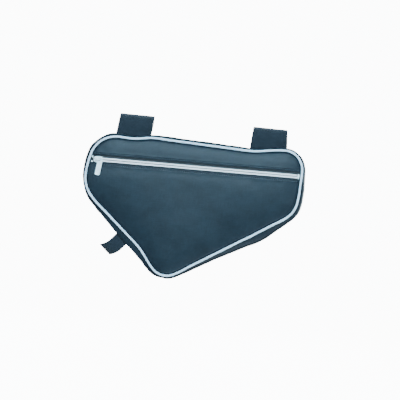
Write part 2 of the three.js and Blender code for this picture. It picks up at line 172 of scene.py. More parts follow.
def add_stage(name, rings):
    """A round sheet of white paper, lit from behind as a studio's light table is, that only the camera sees.

    Its rings are given as radius and height, and the first and the last of them are closed."""
    angle = 2 * math.pi * np.arange(STAGE_SIDES) / STAGE_SIDES
    verts = [(r * math.cos(a), r * math.sin(a), z) for r, z in rings for a in angle]
    faces = grid_faces(len(rings), STAGE_SIDES, close_columns=True).tolist()
    for k in {0, len(rings) - 1}:
        faces.append(list(range(k * STAGE_SIDES, (k + 1) * STAGE_SIDES)))
    sheet = add_mesh(name, verts, faces)
    paper = bpy.data.materials.new(name)
    paper.use_nodes = True
    set_sockets(paper.node_tree.nodes["Principled BSDF"], STAGE_PAPER)
    sheet.data.materials.append(paper)
    sheet.visible_diffuse = False
    sheet.visible_glossy = False
    sheet.visible_shadow = False
    return paper


floor_z = cad_box[0].z - FLOOR_DROP
see_through_below(add_stage("studio_floor", [(FLOOR_RADIUS, floor_z)]))
dome = [(SURROUND_RADIUS * math.cos(a), SURROUND_RADIUS * math.sin(a)) for a in SURROUND_LEVELS]
add_stage("white_surround", dome)
for name, (place, size, watts, colour) in LAMPS.items():
    lamp = bpy.data.lights.new(name, "AREA")
    lamp.shape = "SQUARE"
    lamp.size = size
    lamp.energy = watts
    lamp.color = colour
    holder = bpy.data.objects.new(name, lamp)
    scene.collection.objects.link(holder)
    aim(holder, Vector(place), BAG_MIDDLE)
world = bpy.data.worlds.new("studio_air")
scene.world = world
world.use_nodes = True
set_sockets(world.node_tree.nodes["Background"], WORLD_LIGHT)
print("stage: floor at", round(floor_z, 3), "and", len(LAMPS), "lamps")

# %% [markdown]
# ## The seam line
# Both faces of the bag are sewn along one closed outline, and the piping lies in that seam. The outline
# could be drawn again here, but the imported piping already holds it: the foremost vertices of its tube are
# the seam's own points. They are put in order round the bag, joined by a smooth curve and spaced evenly.

# %% Points, lines and directions
SEAM_STEP = 1.0
SEAM_SOFTEN = 3.0
CURVE_STEPS = 24
LEAST_STEPS = 12


def unit(vectors):
    """The vectors at length 1."""
    return vectors / np.linalg.norm(vectors, axis=-1, keepdims=True)


def heading(loop):
    """The direction of a closed line at each of its points."""
    return unit(np.roll(loop, -1, 0) - np.roll(loop, 1, 0))


def flank(direction):
    """Directions of the side view, turned a quarter to the left."""
    return np.stack([-direction[..., 1], direction[..., 0]], -1)


def stand(plan, depth):
    """Points of the side view, moved to a depth in the bag."""
    return np.stack([plan[..., 0], depth, plan[..., 1]], -1)


def bell(value, middle, width):
    """1 at the middle, and softly down to 0 a few widths away."""
    return np.exp(-(((value - middle) / width) ** 2))


def soft(share):
    """A share from 0 to 1 that starts and ends slowly."""
    return share * share * (3 - 2 * share)


def walked(line):
    """How far along a line each of its points lies."""
    return np.concatenate([[0], np.cumsum(np.linalg.norm(np.diff(line, axis=0), axis=1))])


def points_at(at, line):
    """The points of a line at distances along it."""
    reach = walked(line)
    return np.stack([np.interp(at, reach, line[:, k]) for k in range(line.shape[1])], 1)


def mesh_points(mesh):
    """A mesh's vertices, in millimetres."""
    flat = np.empty(3 * len(mesh.vertices), np.float32)
    mesh.vertices.foreach_get("co", flat)
    return flat.reshape(-1, 3).astype(float) / MM


def node_points(name):
    """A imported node's vertices, in millimetres."""
    return mesh_points(frame["nodes"][name].data)


def node_plan(name):
    """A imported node's vertices in the side view."""
    return node_points(name)[:, [0, 2]]


def soften_round(values, step, reach):
    """Blurs evenly spaced values that run round a loop. reach is the blur's width in the step's unit."""
    waves = np.fft.fftfreq(len(values), step)
    fade = np.exp(-2 * (math.pi * waves * reach) ** 2)
    shape = (-1,) + (1,) * (np.ndim(values) - 1)
    return np.fft.ifft(np.fft.fft(values, axis=0) * fade.reshape(shape), axis=0).real


def even_steps(loop, step):
    """A closed line as even steps along its straight pieces."""
    closed = np.vstack([loop, loop[:1]])
    length = walked(closed)[-1]
    count = max(LEAST_STEPS, int(round(length / step)))
    return points_at(np.arange(count) * length / count, closed)


def even_loop(points, step):
    """A smooth closed curve through the points, as even steps along it."""
    ahead, behind = np.roll(points, -1, 0), np.roll(points, 1, 0)
    span = np.linalg.norm(ahead - points, axis=1)[:, None]
    span_behind = np.roll(span, 1, 0)
    slope = (ahead - points) / span * span_behind + (points - behind) / span_behind * span
    slope = slope / (span + span_behind)
    share = np.linspace(0, 1, CURVE_STEPS, endpoint=False)[None, :, None]
    slope_start = slope[:, None] * span[:, None]
    slope_end = np.roll(slope, -1, 0)[:, None] * span[:, None]
    cube, square = share**3, share**2
    fine = (2 * cube - 3 * square + 1) * points[:, None] + (cube - 2 * square + share) * slope_start
    fine = fine + (3 * square - 2 * cube) * ahead[:, None] + (cube - square) * slope_end
    return even_steps(fine.reshape(-1, points.shape[1]), step)


print("helpers for points ready")

# %% The seam, its length and its outward direction
CREST_DEPTH = 0.02
HEART_SHARE = (0.45, 0.63)

piping_points = node_points("piping_front")
piping_radius = np.ptp(piping_points[:, 1]) / 2
seam_depth = -(piping_points[:, 1].min() + piping_radius)
crest = piping_points[piping_points[:, 1] < piping_points[:, 1].min() + CREST_DEPTH][:, [0, 2]]
crest = np.unique(np.round(crest, 2), axis=0)
bag_heart = crest.min(0) + np.ptp(crest, axis=0) * HEART_SHARE
round_bag = np.argsort(-np.arctan2(crest[:, 1] - bag_heart[1], crest[:, 0] - bag_heart[0]))
seam = soften_round(even_loop(crest[round_bag], SEAM_STEP), SEAM_STEP, SEAM_SOFTEN)
seam_length = len(seam) * SEAM_STEP
seam_along = heading(seam)
seam_out = flank(seam_along)
print("seam:", len(crest), "packed points,", round(seam_length), "mm round, at depth", round(seam_depth, 2))

# %% [markdown]
# ## How the cloth lies
# A full bag pushes its faces out: fast next to the seam, and slower towards the middle. Each face could be
# a flat plate with a bump, but then its outline and its gloss would look dead from the side. So the face
# is a height over the seam's plane, worked out from how far a point lies inside the seam. Cloth also has
# random unevenness, which comes from seeded noise, so that it is the same in every run.

# %% Distances, noise and the crown of a face
PANEL_INSET = 2.5
PANEL_LIP = 0.75
CROWN = 7.0
CROWN_REACH = 25.0
POINTS_AT_ONCE = 1500
LATTICE = 97
panel_edge = seam - PANEL_INSET * seam_out


def gap_to_loop(points, loop):
    """For each point: how far off the closed line is, and how many of its steps in the nearest place lies."""
    line = np.roll(loop, -1, 0) - loop
    length_squared = (line**2).sum(1)
    gaps, places = [], []
    for part in np.array_split(points, max(1, len(points) // POINTS_AT_ONCE)):
        offset = part[:, None] - loop[None]
        share = np.clip((offset * line).sum(2) / length_squared, 0, 1)
        gap = np.linalg.norm(offset - share[..., None] * line, axis=2)
        row, best = np.arange(len(part)), gap.argmin(1)
        gaps.append(gap[row, best])
        places.append(best + share[row, best])
    return np.concatenate(gaps), np.concatenate(places)


def inside_distance(points):
    """For each point of a face: how far inside the panel's edge it lies, and where along the seam."""
    away, steps = gap_to_loop(points, panel_edge)
    return away, steps * SEAM_STEP


def cloth_noise(u, v, size, seed):
    """Smooth random unevenness between about -1 and 1, with lumps of the given size."""
    lattice = np.random.default_rng(seed).uniform(-1, 1, (LATTICE, LATTICE))
    a, b = u / size, v / size
    i, j = np.floor(a).astype(int), np.floor(b).astype(int)
    p, q = soft(a - i), soft(b - j)
    i, i_next, j, j_next = (k % LATTICE for k in (i, i + 1, j, j + 1))
    near = lattice[i, j] * (1 - p) + lattice[i_next, j] * p
    far = lattice[i, j_next] * (1 - p) + lattice[i_next, j_next] * p
    return near * (1 - q) + far * q


def crown_height(away):
    """How far a face stands out past the seam's plane, at a distance inside its edge."""
    return seam_depth + PANEL_LIP + CROWN * (1 - np.exp(-away / CROWN_REACH))


print("crown:", round(float(crown_height(np.array([100.0]))[0]), 2), "mm from the middle plane")

# %% [markdown]
# ## The zip's line
# The slider and its pull are hard pieces that the motion model moves, so the cloth has to fit them and not
# the other way round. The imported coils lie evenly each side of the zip's centre line, so a straight line
# fitted through their vertices gives its place and slope. Heights above that line are called up, and
# distances along it are called along.

# %% Zip coordinates
coil_points = np.vstack([node_points("zip_coil_upper"), node_points("zip_coil_lower")])
zip_rise, zip_level = np.polyfit(coil_points[:, 0], coil_points[:, 2], 1)
zip_along = np.array([1.0, zip_rise]) / math.hypot(1.0, zip_rise)
zip_up = np.array([-zip_along[1], zip_along[0]])
zip_start = np.array([0.0, zip_level])


def to_zip(points):
    """Millimetres along the zip from the middle of the bag, and above its centre line."""
    offset = np.asarray(points) - zip_start
    return offset @ zip_along, offset @ zip_up


def from_zip(along, up):
    """The point of the face at zip coordinates."""
    return zip_start + np.multiply.outer(along, zip_along) + np.multiply.outer(up, zip_up)


hem_above = to_zip(node_plan("front_panel_upper"))[1].min()
hem_below = to_zip(node_plan("front_panel_lower"))[1].max()
zip_degrees = math.degrees(math.atan(zip_rise))
print("zip: slope", round(zip_degrees, 2), "hems at", round(hem_above, 2), round(hem_below, 2))

# %% [markdown]
# ## Making a mesh
# Every soft piece below ends in the same few steps: vertices in millimetres become a mesh in metres, each
# corner gets its cloth coordinates, and the piece rides on a body. One helper does that. The cloth
# coordinates are real lengths along and across the weave, so one finish fits every piece at one scale.

# %% Mesh helpers
def add_cloth_places(mesh, cloth, wraps):
    """Gives each corner of the faces its cloth coordinates, in metres."""
    corner = np.empty(len(mesh.loops), np.int32)
    mesh.loops.foreach_get("vertex_index", corner)
    spread = np.asarray(cloth, float)[corner]
    face_of = np.repeat(np.arange(len(mesh.polygons)), [len(f.vertices) for f in mesh.polygons])
    for k, wrap in enumerate(wraps):
        if wrap:
            most = np.full(len(mesh.polygons), -np.inf)
            np.maximum.at(most, face_of, spread[:, k])
            spread[:, k] += wrap * (most[face_of] - spread[:, k] > wrap / 2)
    layer = mesh.uv_layers.new(name="cloth")
    layer.data.foreach_set("uv", (spread * MM).astype(np.float32).ravel())


def make_piece(name, verts, faces, cloth=None, body="bag", replaces=None, slot=None, wraps=(0, 0)):
    """A finished piece: mesh, cloth coordinates, body and replaced node. slot is not used.

    wraps gives the lengths after which cloth coordinates start again, so that a face that closes a loop
    doesn't run back over all of it."""
    piece = add_mesh(name, np.asarray(verts) * MM, faces)
    if cloth is not None:
        add_cloth_places(piece.data, cloth, wraps)
    piece.data.shade_smooth()
    piece.data.validate()
    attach(piece, body)
    if replaces:
        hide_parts(replaces)
    print(name, len(piece.data.polygons), "faces")
    return piece


def turn_out(verts, faces, outward):
    """Faces turned so that, taken together, they look the way that outward gives for them."""
    a, b, c = (verts[faces[:, k]] for k in range(3))
    wrong = (np.cross(b - a, c - a) * outward).sum() < 0
    return faces[:, ::-1] if wrong else faces


def thicken(piece, thickness):
    """Gives a single sheet its inner layer, so that the cloth is a closed form."""
    layer = piece.modifiers.new("inner_layer", "SOLIDIFY")
    layer.thickness = thickness * MM
    layer.offset = -1


print("mesh helpers ready")

# %% [markdown]
# ## Blowing up the cloth
# The faces are cut from flat cloth a little larger than the space between the seams, so a full bag shows
# soft swells and short puckers beside the sewing. They could be painted with noise, but a cloth
# simulation gives folds that start at real seams. A thin sheet is pinned along the seam and the zip,
# pressed from inside, and read back as a height. The fine panel then takes the simulated height, held
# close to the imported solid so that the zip's pull keeps its room.

# %% Simulate one face
SHEET_STEP = 3.4
SHEET_FRAMES = 26
SHEET_RIM = 0.3 * SHEET_STEP
SHEET_PRESSURE = 2.5
SHEET_CLOTH = {
    "quality": 7,
    "mass": 0.15,
    "tension_stiffness": 30,
    "compression_stiffness": 30,
    "shear_stiffness": 15,
    "bending_stiffness": 0.4,
    "vertex_group_mass": "sewn",
    "shrink_min": -0.012,
    "use_pressure": True,
}


def triangulate(loops, inner, nearness=1e-4):
    """Even triangles between closed lines, through the inner points: vertices and faces."""
    ends = np.cumsum([0] + [len(loop) for loop in loops])
    rings = [list(range(first, past)) for first, past in zip(ends[:-1], ends[1:])]
    points = [Vector(point) for point in np.vstack(loops + [inner])]
    made = delaunay_2d_cdt(points, [], rings, 1, nearness)
    verts = np.array([tuple(v) for v in made[0]])
    return verts, np.array([tuple(f) for f in made[2] if len(f) == 3])


def honeycomb(low, high, step):
    """Points of a triangular lattice over a rectangle."""
    rows = np.arange(low[1], high[1], step * 0.866)
    columns = np.arange(low[0], high[0], step)
    x, z = np.meshgrid(columns, rows)
    x = x + (np.arange(len(rows)) % 2)[:, None] * step / 2
    return np.stack([x.ravel(), z.ravel()], 1)


def panel_outline(region, step):
    """The edge of a panel: the stretch of the seam inside the region and, at the zip, the hem's line."""
    loop = panel_edge[:: max(1, int(round(step / SEAM_STEP)))]
    if region is None:
        return loop
    level, sign = region
    up = to_zip(loop)[1]
    keep = sign * (up - level) > 0.4 * step
    first = int(np.flatnonzero(keep & ~np.roll(keep, 1))[0])
    loop, keep = np.roll(loop, -first, 0), np.roll(keep, -first)
    arc = loop[: int(keep.sum())]
    ends = [to_zip(arc[k])[0] for k in (-1, 0)]
    reach = [edge_crossing(level, side) for side in (np.sign(ends[0]), np.sign(ends[1]))]
    count = int(abs(reach[1] - reach[0]) / step)
    hem = from_zip(np.linspace(reach[0], reach[1], count + 1), np.full(count + 1, level))
    return np.vstack([arc, hem])


def edge_crossing(level, side):
    """Where the panel's edge crosses a height above the zip, on one side of the bag."""
    along, up = to_zip(panel_edge)
    near = np.where(np.sign(along) == side, np.abs(up - level), np.inf)
    return along[near.argmin()]


def simulate_face(name, region):
    """Height gained over the crown by one pressed sheet, as a tree that can be asked at any point."""
    outline = panel_outline(region, SHEET_STEP)
    inner = honeycomb(outline.min(0), outline.max(0), SHEET_STEP)
    inner = inner[inside_region(inner, region, 2 * SHEET_RIM)]
    verts, faces = triangulate([outline], inner)
    away = inside_distance(verts)[0]
    rim = away < SHEET_RIM
    if region is not None:
        rim |= np.abs(to_zip(verts)[1] - region[0]) < SHEET_RIM
    sheet = add_mesh(name, stand(verts, -crown_height(away)) * MM, faces)
    group = sheet.vertex_groups.new(name="sewn")
    group.add(np.flatnonzero(rim).tolist(), 1.0, "REPLACE")
    facing_out = np.mean([p.normal.y for p in sheet.data.polygons]) < 0
    cloth = sheet.modifiers.new("cloth", "CLOTH")
    for key, value in SHEET_CLOTH.items():
        setattr(cloth.settings, key, value)
    cloth.settings.uniform_pressure_force = SHEET_PRESSURE if facing_out else -SHEET_PRESSURE
    cloth.settings.effector_weights.gravity = 0
    for step in range(1, SHEET_FRAMES + 1):
        scene.frame_set(step)
    moved = mesh_points(sheet.evaluated_get(bpy.context.evaluated_depsgraph_get()).data)
    bpy.data.objects.remove(sheet)
    scene.frame_set(1)
    plan = moved[:, [0, 2]]
    gain = -moved[:, 1] - crown_height(inside_distance(plan)[0])
    print(name, "gained from", round(gain.min(), 2), "to", round(gain.max(), 2), "mm on", len(verts), "points")
    tree = BVHTree.FromPolygons([(x, 0, z) for x, z in plan], faces.tolist())
    return {"tree": tree, "faces": faces, "plan": plan, "gain": gain}


def inside_region(points, region, margin):
    """Which points lie inside the panel's edge and on the region's side of the zip."""
    from_heart = points - bag_heart
    angle = np.arctan2(from_heart[:, 1], from_heart[:, 0])
    edge = panel_edge - bag_heart
    edge_angle = np.arctan2(edge[:, 1], edge[:, 0])
    order = np.argsort(edge_angle)
    radius = np.interp(angle, edge_angle[order], np.hypot(*edge.T)[order], period=2 * math.pi)
    inside = np.hypot(*from_heart.T) < radius
    inside &= inside_distance(points)[0] > margin
    if region is not None:
        inside &= region[1] * (to_zip(points)[1] - region[0]) > margin
    return inside


UPPER = (hem_above, 1)
LOWER = (hem_below, -1)
faces_of_bag = {"upper": UPPER, "lower": LOWER, "back": None}
swells = {k: simulate_face("sheet_" + k, r) for k, r in faces_of_bag.items()}
print("simulated faces:", list(swells) or "none, in a quick run")

# %% [markdown]
# ## The three face panels
# Each panel is one sheet of coated polyester. Its edge disappears under the piping, and at the zip the
# cloth is folded back on itself and stitched down, which leaves a soft roll, a groove and a row of thread.
# A subdivided grid would not follow the bag's outline, so the sheet is triangulated: even triangles in the
# middle, and closer rows beside the seam and the hem, where the surface turns quickly.

# %% Sheet surface: swell, puckers and hem
SEAM_ROWS = (0.5, 1.1, 1.9, 3.0)
HEM_ROWS = (0.3, 0.7, 1.2, 1.65, 2.0, 2.35, 2.8, 3.5, 4.6)
PANEL_STEP = 1.9
EDGE_STEP = 1.5
PANEL_THICKNESS = 0.25
SWELL_MOST = 1.25
SINK_MOST = 0.9
SWELL_EVENED = 40
SETTLE_REACH = 12
UNEVEN = 0.32
BROAD_LUMPS = 34
SMALL_LUMPS = 12
SMALL_SHARE = 0.35
HEM_STITCH = 2.1
HEM_CALM = 9
HEM_PROUD = 0.7
HEM_PROUD_REACH = 15.0
PULL_ZONE = (-112.0, -92.0)
# The hem's roll at the fold, the groove under the thread and the shoulder behind it: height, place, width.
HEM_SHAPE = ((0.7, 0.9, 0.9), (-0.7, HEM_STITCH, 0.4), (0.245, 3.6, 1.2))
SEAM_PUCKER = 0.42
HEM_PUCKER = 0.22
PUCKER_SMALL = 4.2
PUCKER_BROAD = 9.0
PUCKER_PATCH = 45.0
PUCKER_AT = 3.0
PUCKER_REACH = 6.0
PUCKER_START = 1.5
PUCKER_SEED = 3
SMALL_LUMPS_SEED = 7
HEM_SEED = 11
SEAM_SINK = 1.1
SEAM_SINK_REACH = 1.3


def swell_at(points, swell):
    """The simulated gain in height at each point, from the sheet's triangles."""
    if swell is None:
        return np.zeros(len(points))
    picked = [swell["tree"].find_nearest((x, 0, z))[2] for x, z in points]
    corners = swell["faces"][picked]
    a, b, c = (swell["plan"][corners[:, k]] for k in range(3))
    whole = np.cross(b - a, c - a)
    share_b = np.clip(np.cross(points - a, c - a) / whole, 0, 1)
    share_c = np.clip(np.cross(b - a, points - a) / whole, 0, 1 - share_b)
    gain = swell["gain"][corners]
    return gain[:, 0] * (1 - share_b - share_c) + gain[:, 1] * share_b + gain[:, 2] * share_c


def even_out(values, faces, held, times):
    """Averages values with their neighbours' over a mesh, a few times, except where they are held."""
    ends = np.vstack([faces[:, (0, 1)], faces[:, (1, 2)], faces[:, (2, 0)]])
    count = np.bincount(ends.ravel(), minlength=len(values))
    for _ in range(times):
        total = np.bincount(ends[:, 0], values[ends[:, 1]], len(values))
        total += np.bincount(ends[:, 1], values[ends[:, 0]], len(values))
        values = np.where(held, values, 0.5 * values + 0.5 * total / count)
    return values


def hem_relief(from_fold):
    """The stitched hem: a roll at the fold, a groove under the thread, then flat."""
    return sum(height * bell(from_fold, place, width) for height, place, width in HEM_SHAPE)


def puckers(away, along, depth, seed):
    """Short folds that run in from a line of sewing, stronger in some places than in others."""
    small = cloth_noise(along, 0.22 * away + 40, PUCKER_SMALL, seed)
    fold = small * 0.7 + cloth_noise(along, 0.15 * away, PUCKER_BROAD, seed + 1)
    strength = 0.6 + 0.4 * cloth_noise(along, 0 * along, PUCKER_PATCH, seed + 2)
    return depth * strength * fold * bell(away, PUCKER_AT, PUCKER_REACH)


def face_height(points, swell_gain, region, seed):
    """How far the finished face stands out at each point."""
    away, along = inside_distance(points)
    x, z = points.T
    settled = np.clip(away / SETTLE_REACH, 0, 1)
    crown = crown_height(away)
    most = np.where(swell_gain > 0, SWELL_MOST, SINK_MOST)
    height = crown + most * np.tanh(swell_gain / most)
    height += settled * UNEVEN * cloth_noise(x, z, BROAD_LUMPS, seed)
    height += settled * SMALL_SHARE * UNEVEN * cloth_noise(x, 1.6 * z, SMALL_LUMPS, seed + SMALL_LUMPS_SEED)
    if region is not None:
        zip_x, up = to_zip(points)
        from_fold = np.abs(up - region[0])
        height = crown + (height - crown) * (1 - bell(from_fold, 0, HEM_CALM))
        height += hem_relief(from_fold) + puckers(from_fold, zip_x, HEM_PUCKER, seed + HEM_SEED)
        if region[1] < 0:
            past_pull = np.clip((zip_x - PULL_ZONE[0]) / (PULL_ZONE[1] - PULL_ZONE[0]), 0, 1)
            height += HEM_PROUD * past_pull * settled * bell(from_fold, 0, HEM_PROUD_REACH)
    height += puckers(away, along, SEAM_PUCKER, seed + PUCKER_SEED) * np.clip(away / PUCKER_START, 0, 1)
    return height - SEAM_SINK * bell(away, 0, SEAM_SINK_REACH)


print("face surface ready")

# %% Panels
# How far each row past the rim goes out and in: tucked under the piping, or folded behind the zip's hem.
TUCK = ((0.3, 0.55), (0.65, 1.3), (0.85, 2.2), (0.9, 3.2), (0.9, 3.2))
FOLD = ((-0.28, 0.18), (-0.42, 0.62), (-0.3, 1.1), (0.4, 1.35), (3.0, 1.4))
TUCK_SLOPE = 0.02
ON_LINE = 0.05
WELD_WITHIN = 0.02


def panel_points(region):
    """The plan of a panel: its outline, close rows beside seam and hem, and an even middle."""
    outline = panel_outline(region, EDGE_STEP)
    rows = []
    for row in SEAM_ROWS:
        line = (panel_edge - row * seam_out)[:: int(round(EDGE_STEP / SEAM_STEP))]
        away = inside_distance(line)[0]
        keep = np.abs(away - row) < 0.2
        if region is not None:
            keep &= region[1] * (to_zip(line)[1] - region[0]) > HEM_ROWS[-1] + 0.8
        rows.append(line[keep])
    clear = SEAM_ROWS[-1] + 0.5 * PANEL_STEP
    if region is not None:
        reach = [edge_crossing(region[0], side) for side in (-1, 1)]
        along = np.arange(reach[0], reach[1], EDGE_STEP * 0.8)
        for row in HEM_ROWS:
            line = from_zip(along, np.full(len(along), region[0] + region[1] * row))
            rows.append(line[inside_region(line, None, 0.7)])
    lattice = honeycomb(outline.min(0), outline.max(0), PANEL_STEP)
    lattice = lattice[inside_region(lattice, None, clear)]
    if region is not None:
        lattice = lattice[region[1] * (to_zip(lattice)[1] - region[0]) > HEM_ROWS[-1] + 0.5 * PANEL_STEP]
    return outline, np.vstack(rows + [lattice])


def build_panel(name, side, region, swell, seed):
    """One face panel. side is -1 for the zip's face and 1 for the back."""
    outline, inner = panel_points(region)
    plan, faces = triangulate([outline], inner)
    on_rim = inside_distance(plan)[0] < ON_LINE
    if region is not None:
        on_rim |= np.abs(to_zip(plan)[1] - region[0]) < ON_LINE
    gain = even_out(swell_at(plan, swell), faces, on_rim, SWELL_EVENED)
    height = face_height(plan, gain, region, seed)
    verts = stand(plan, side * height)
    skirt, skirt_faces = panel_skirt(outline, region, seed, side, len(verts))
    faces = turn_out(verts, faces, (0, side, 0)).tolist() + skirt_faces
    every = np.vstack([verts, skirt])
    piece = make_piece(name + "_cloth", every, faces, every[:, [0, 2]], replaces=name, slot="body_cloth")
    join_close_vertices(piece)
    thicken(piece, PANEL_THICKNESS)
    print(name, "stands out", round(height.max(), 2), "mm")
    return piece


def panel_skirt(outline, region, seed, side, first):
    """The rows past the panel's rim: tucked under the piping, or folded back behind the zip's hem."""
    count = len(outline)
    height = face_height(outline, np.zeros(count), region, seed)
    out = flank(heading(outline))
    at_hem = np.zeros(count, bool)
    if region is not None:
        at_hem = np.abs(to_zip(outline)[1] - region[0]) < ON_LINE
        out[at_hem] = -region[1] * zip_up
    rows = [stand(outline, side * height)]
    for k, ((tuck_out, tuck_in), (fold_out, fold_in)) in enumerate(zip(TUCK, FOLD)):
        past = np.where(at_hem, -fold_out, tuck_out)[:, None]
        sunk = np.where(at_hem, fold_in, tuck_in + TUCK_SLOPE * k)
        rows.append(stand(outline + past * out, side * (height - sunk)))
    verts = np.vstack(rows)
    faces = grid_faces(len(rows), count, close_columns=True)
    outward = stand(out, np.zeros(count))[faces[:, 0] % count]
    return verts, (turn_out(verts, faces, outward) + first).tolist()


def join_close_vertices(piece):
    """Welds vertices that lie on each other, so that the surface shades as one."""
    mesh = bmesh.new()
    mesh.from_mesh(piece.data)
    bmesh.ops.remove_doubles(mesh, verts=mesh.verts, dist=WELD_WITHIN * MM)
    mesh.to_mesh(piece.data)
    mesh.free()


panel_pieces = [
    build_panel("front_panel_upper", -1, UPPER, swells.get("upper"), 11),
    build_panel("front_panel_lower", -1, LOWER, swells.get("lower"), 23),
    build_panel("back_panel", 1, None, swells.get("back"), 37),
]

# %% [markdown]
# ## The gusset
# The gusset is one long strip between the two seams. It is blown out by what the bag holds, and pressed
# flat where it lies under the top tube and against the down tube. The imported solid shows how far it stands
# out all the way round, so its own vertices are read once, smoothed, and the strip is rebuilt as a fine
# grid with a rounder section. The photograph shows it fuller in one place and leaner in two, which is added.
# The pressed places are planes that cut the swell off softly.

# %% Gusset
GUSSET_REACH = 22.3
GUSSET_ROWS = 45
GUSSET_STEP = 1.5
GUSSET_THICKNESS = 0.9
SECTION_POWER = 6.0
EDGE_DIP = 0.8
GUSSET_PUCKER = 0.4
GUSSET_SEED = 71
BACK_SHIFT = 500
LOOSE_SWELL = 6
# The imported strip's half width, and one of its rows of vertices, from which its swell is read.
PACKED_HALF = 24.0
PACKED_ROW = 18.035
SEAT_HALF = 16.7
SEAT_REACH = 30
SWELL_MORE = 1.1
SWELL_BLUR = 14.0
TURN_BLUR = 12.0
HUG_PLACE = 19.0
HUG_WIDTH = 2.4
HUG_TOP = 1.7
HUG_LOW = 2.2
HUG_BLUR = 5.0
# How squarely the seam has to face a tube, and how far past a strap its hold reaches.
HUG_FACING = 0.85
HUG_BLEND = 0.1
STRAP_HOLD = 6
# Places of the photograph, in pixels, where the gusset is fuller or leaner than packed, and by how much.
FULL_SPOT = (258.0, 236.0)
FULL_REACH = 30.0
FULL_MORE = 2.4
LEAN_SPOTS = {(302.0, 205.0): 1.0, (85.0, 182.0): 2.2}
LEAN_REACH = 38.0
FLAT_HALF = 16.6
FLAT_BLEND = 1.2
FLAT_CLEAR = 0.02
WALL_RISE = 30
WALL_RUN = 3
STRAP_ROUND = 3.3
STRAPS_ON_SEAM = ("strap_top_front", "strap_top_rear", "strap_down_tube")


def around(values, at):
    """Reads numbers or points that are spaced evenly round the seam, at distances along it."""
    if values.ndim > 1:
        return np.stack([around(column, at) for column in values.T], -1)
    spots = np.arange(len(values)) * SEAM_STEP
    return np.interp(at, spots, values, period=seam_length)


def seam_place(points):
    """Where points of the side view lie: how far along the seam, and how far outside it."""
    offset = points[:, None] - seam[None]
    nearest = (offset**2).sum(2).argmin(1)
    out = (offset[np.arange(len(points)), nearest] * seam_out[nearest]).sum(1)
    return nearest * SEAM_STEP, out


def read_swell():
    """How far the gusset stands out past the seam, evenly round the bag."""
    packed = node_points("gusset")
    row = np.unique(np.round(packed[np.abs(np.abs(packed[:, 1]) - PACKED_ROW) < 0.05], 2), axis=0)
    along, out = seam_place(row[:, [0, 2]])
    order = np.argsort(along)
    full = 1 - (PACKED_ROW / PACKED_HALF) ** 4
    spots = np.arange(len(seam)) * SEAM_STEP
    swell = np.interp(spots, along[order], out[order] / full, period=seam_length)
    fuller = FULL_MORE * near_spot(FULL_SPOT, FULL_REACH)
    fuller = fuller - sum(less * near_spot(spot, LEAN_REACH) for spot, less in LEAN_SPOTS.items())
    return soften_round(swell, SEAM_STEP, SWELL_BLUR) + SWELL_MORE + fuller


def near_spot(pixel, reach):
    """How close each point of the seam is to a pixel of the photograph: 1 there, and 0 far away."""
    place = photo_to_bag(*pixel) / MM
    return np.exp(-(((seam - (place.x, place.z)) ** 2).sum(1) / reach**2))


def strap_spot(name):
    """A strap's middle in the side view, and the number of the seam's point that is nearest."""
    held = node_plan(name)
    middle = (held.min(0) + held.max(0)) / 2
    return middle, int(((seam - middle) ** 2).sum(1).argmin())


def pressed_planes():
    """The planes that the two tubes press the gusset into: outward direction, and depth along it."""
    packed = node_points("gusset")
    seat = packed[np.abs(packed[:, 1]) < SEAT_HALF]
    spot = strap_spot("strap_down_tube")[1]
    out = unit(soften_round(seam_out, SEAM_STEP, TURN_BLUR)[spot])
    sideways = (seat[:, [0, 2]] - seam[spot]) @ flank(out)
    near = seat[np.abs(sideways) < SEAT_REACH]
    return (np.array([0.0, 1.0]), seat[:, 2].max()), (out, (near[:, [0, 2]] @ out).max())


def beside_tubes():
    """How far the cloth is squeezed out beside the tubes, evenly round the seam. Straps hold it in."""
    hug = np.zeros(len(seam))
    for (normal, _), most in ((top_plane, HUG_TOP), (low_plane, HUG_LOW)):
        hug += most * np.clip((seam_out @ normal - HUG_FACING) / HUG_BLEND, 0, 1)
    turns = soften_round(seam_along, SEAM_STEP, TURN_BLUR)
    for name in STRAPS_ON_SEAM:
        middle, spot = strap_spot(name)
        half = np.abs((node_plan(name) - middle) @ turns[spot]).max()
        gap = np.linalg.norm(seam - middle, axis=1)
        hug *= 1 - np.exp(-((gap / (half + STRAP_HOLD)) ** 6))
    return soften_round(hug, SEAM_STEP, HUG_BLUR)


gusset_swell = read_swell()
top_plane, low_plane = pressed_planes()
gusset_hug = beside_tubes()
print("gusset: swells", round(gusset_swell.min(), 1), "to", round(gusset_swell.max(), 1), "mm")


def gusset_surface(along, across):
    """Points of the gusset's outer surface, from distances along the seam and across the bag."""
    side = np.abs(across)
    swell = around(gusset_swell, along)
    section = np.clip(1 - (side / (GUSSET_REACH + 0.2)) ** SECTION_POWER, 0, 1) ** 0.85
    rise = (swell + EDGE_DIP) * section - EDGE_DIP
    rise = rise + around(gusset_hug, along) * bell(side, HUG_PLACE, HUG_WIDTH)
    edge = GUSSET_REACH - side
    fold = puckers(edge, along + BACK_SHIFT * (across > 0), GUSSET_PUCKER, GUSSET_SEED)
    rise = rise + fold * np.clip(edge / 2, 0, 1)
    loose = np.clip(swell / LOOSE_SWELL, 0.3, 1)
    broad = 0.7 * cloth_noise(along, across, 30, GUSSET_SEED + 1)
    broad += 0.35 * cloth_noise(along, 0.5 * across, 11, GUSSET_SEED + 2)
    rise = rise + loose * broad * section
    return press(around(seam, along) + rise[..., None] * unit(around(seam_out, along)), across)


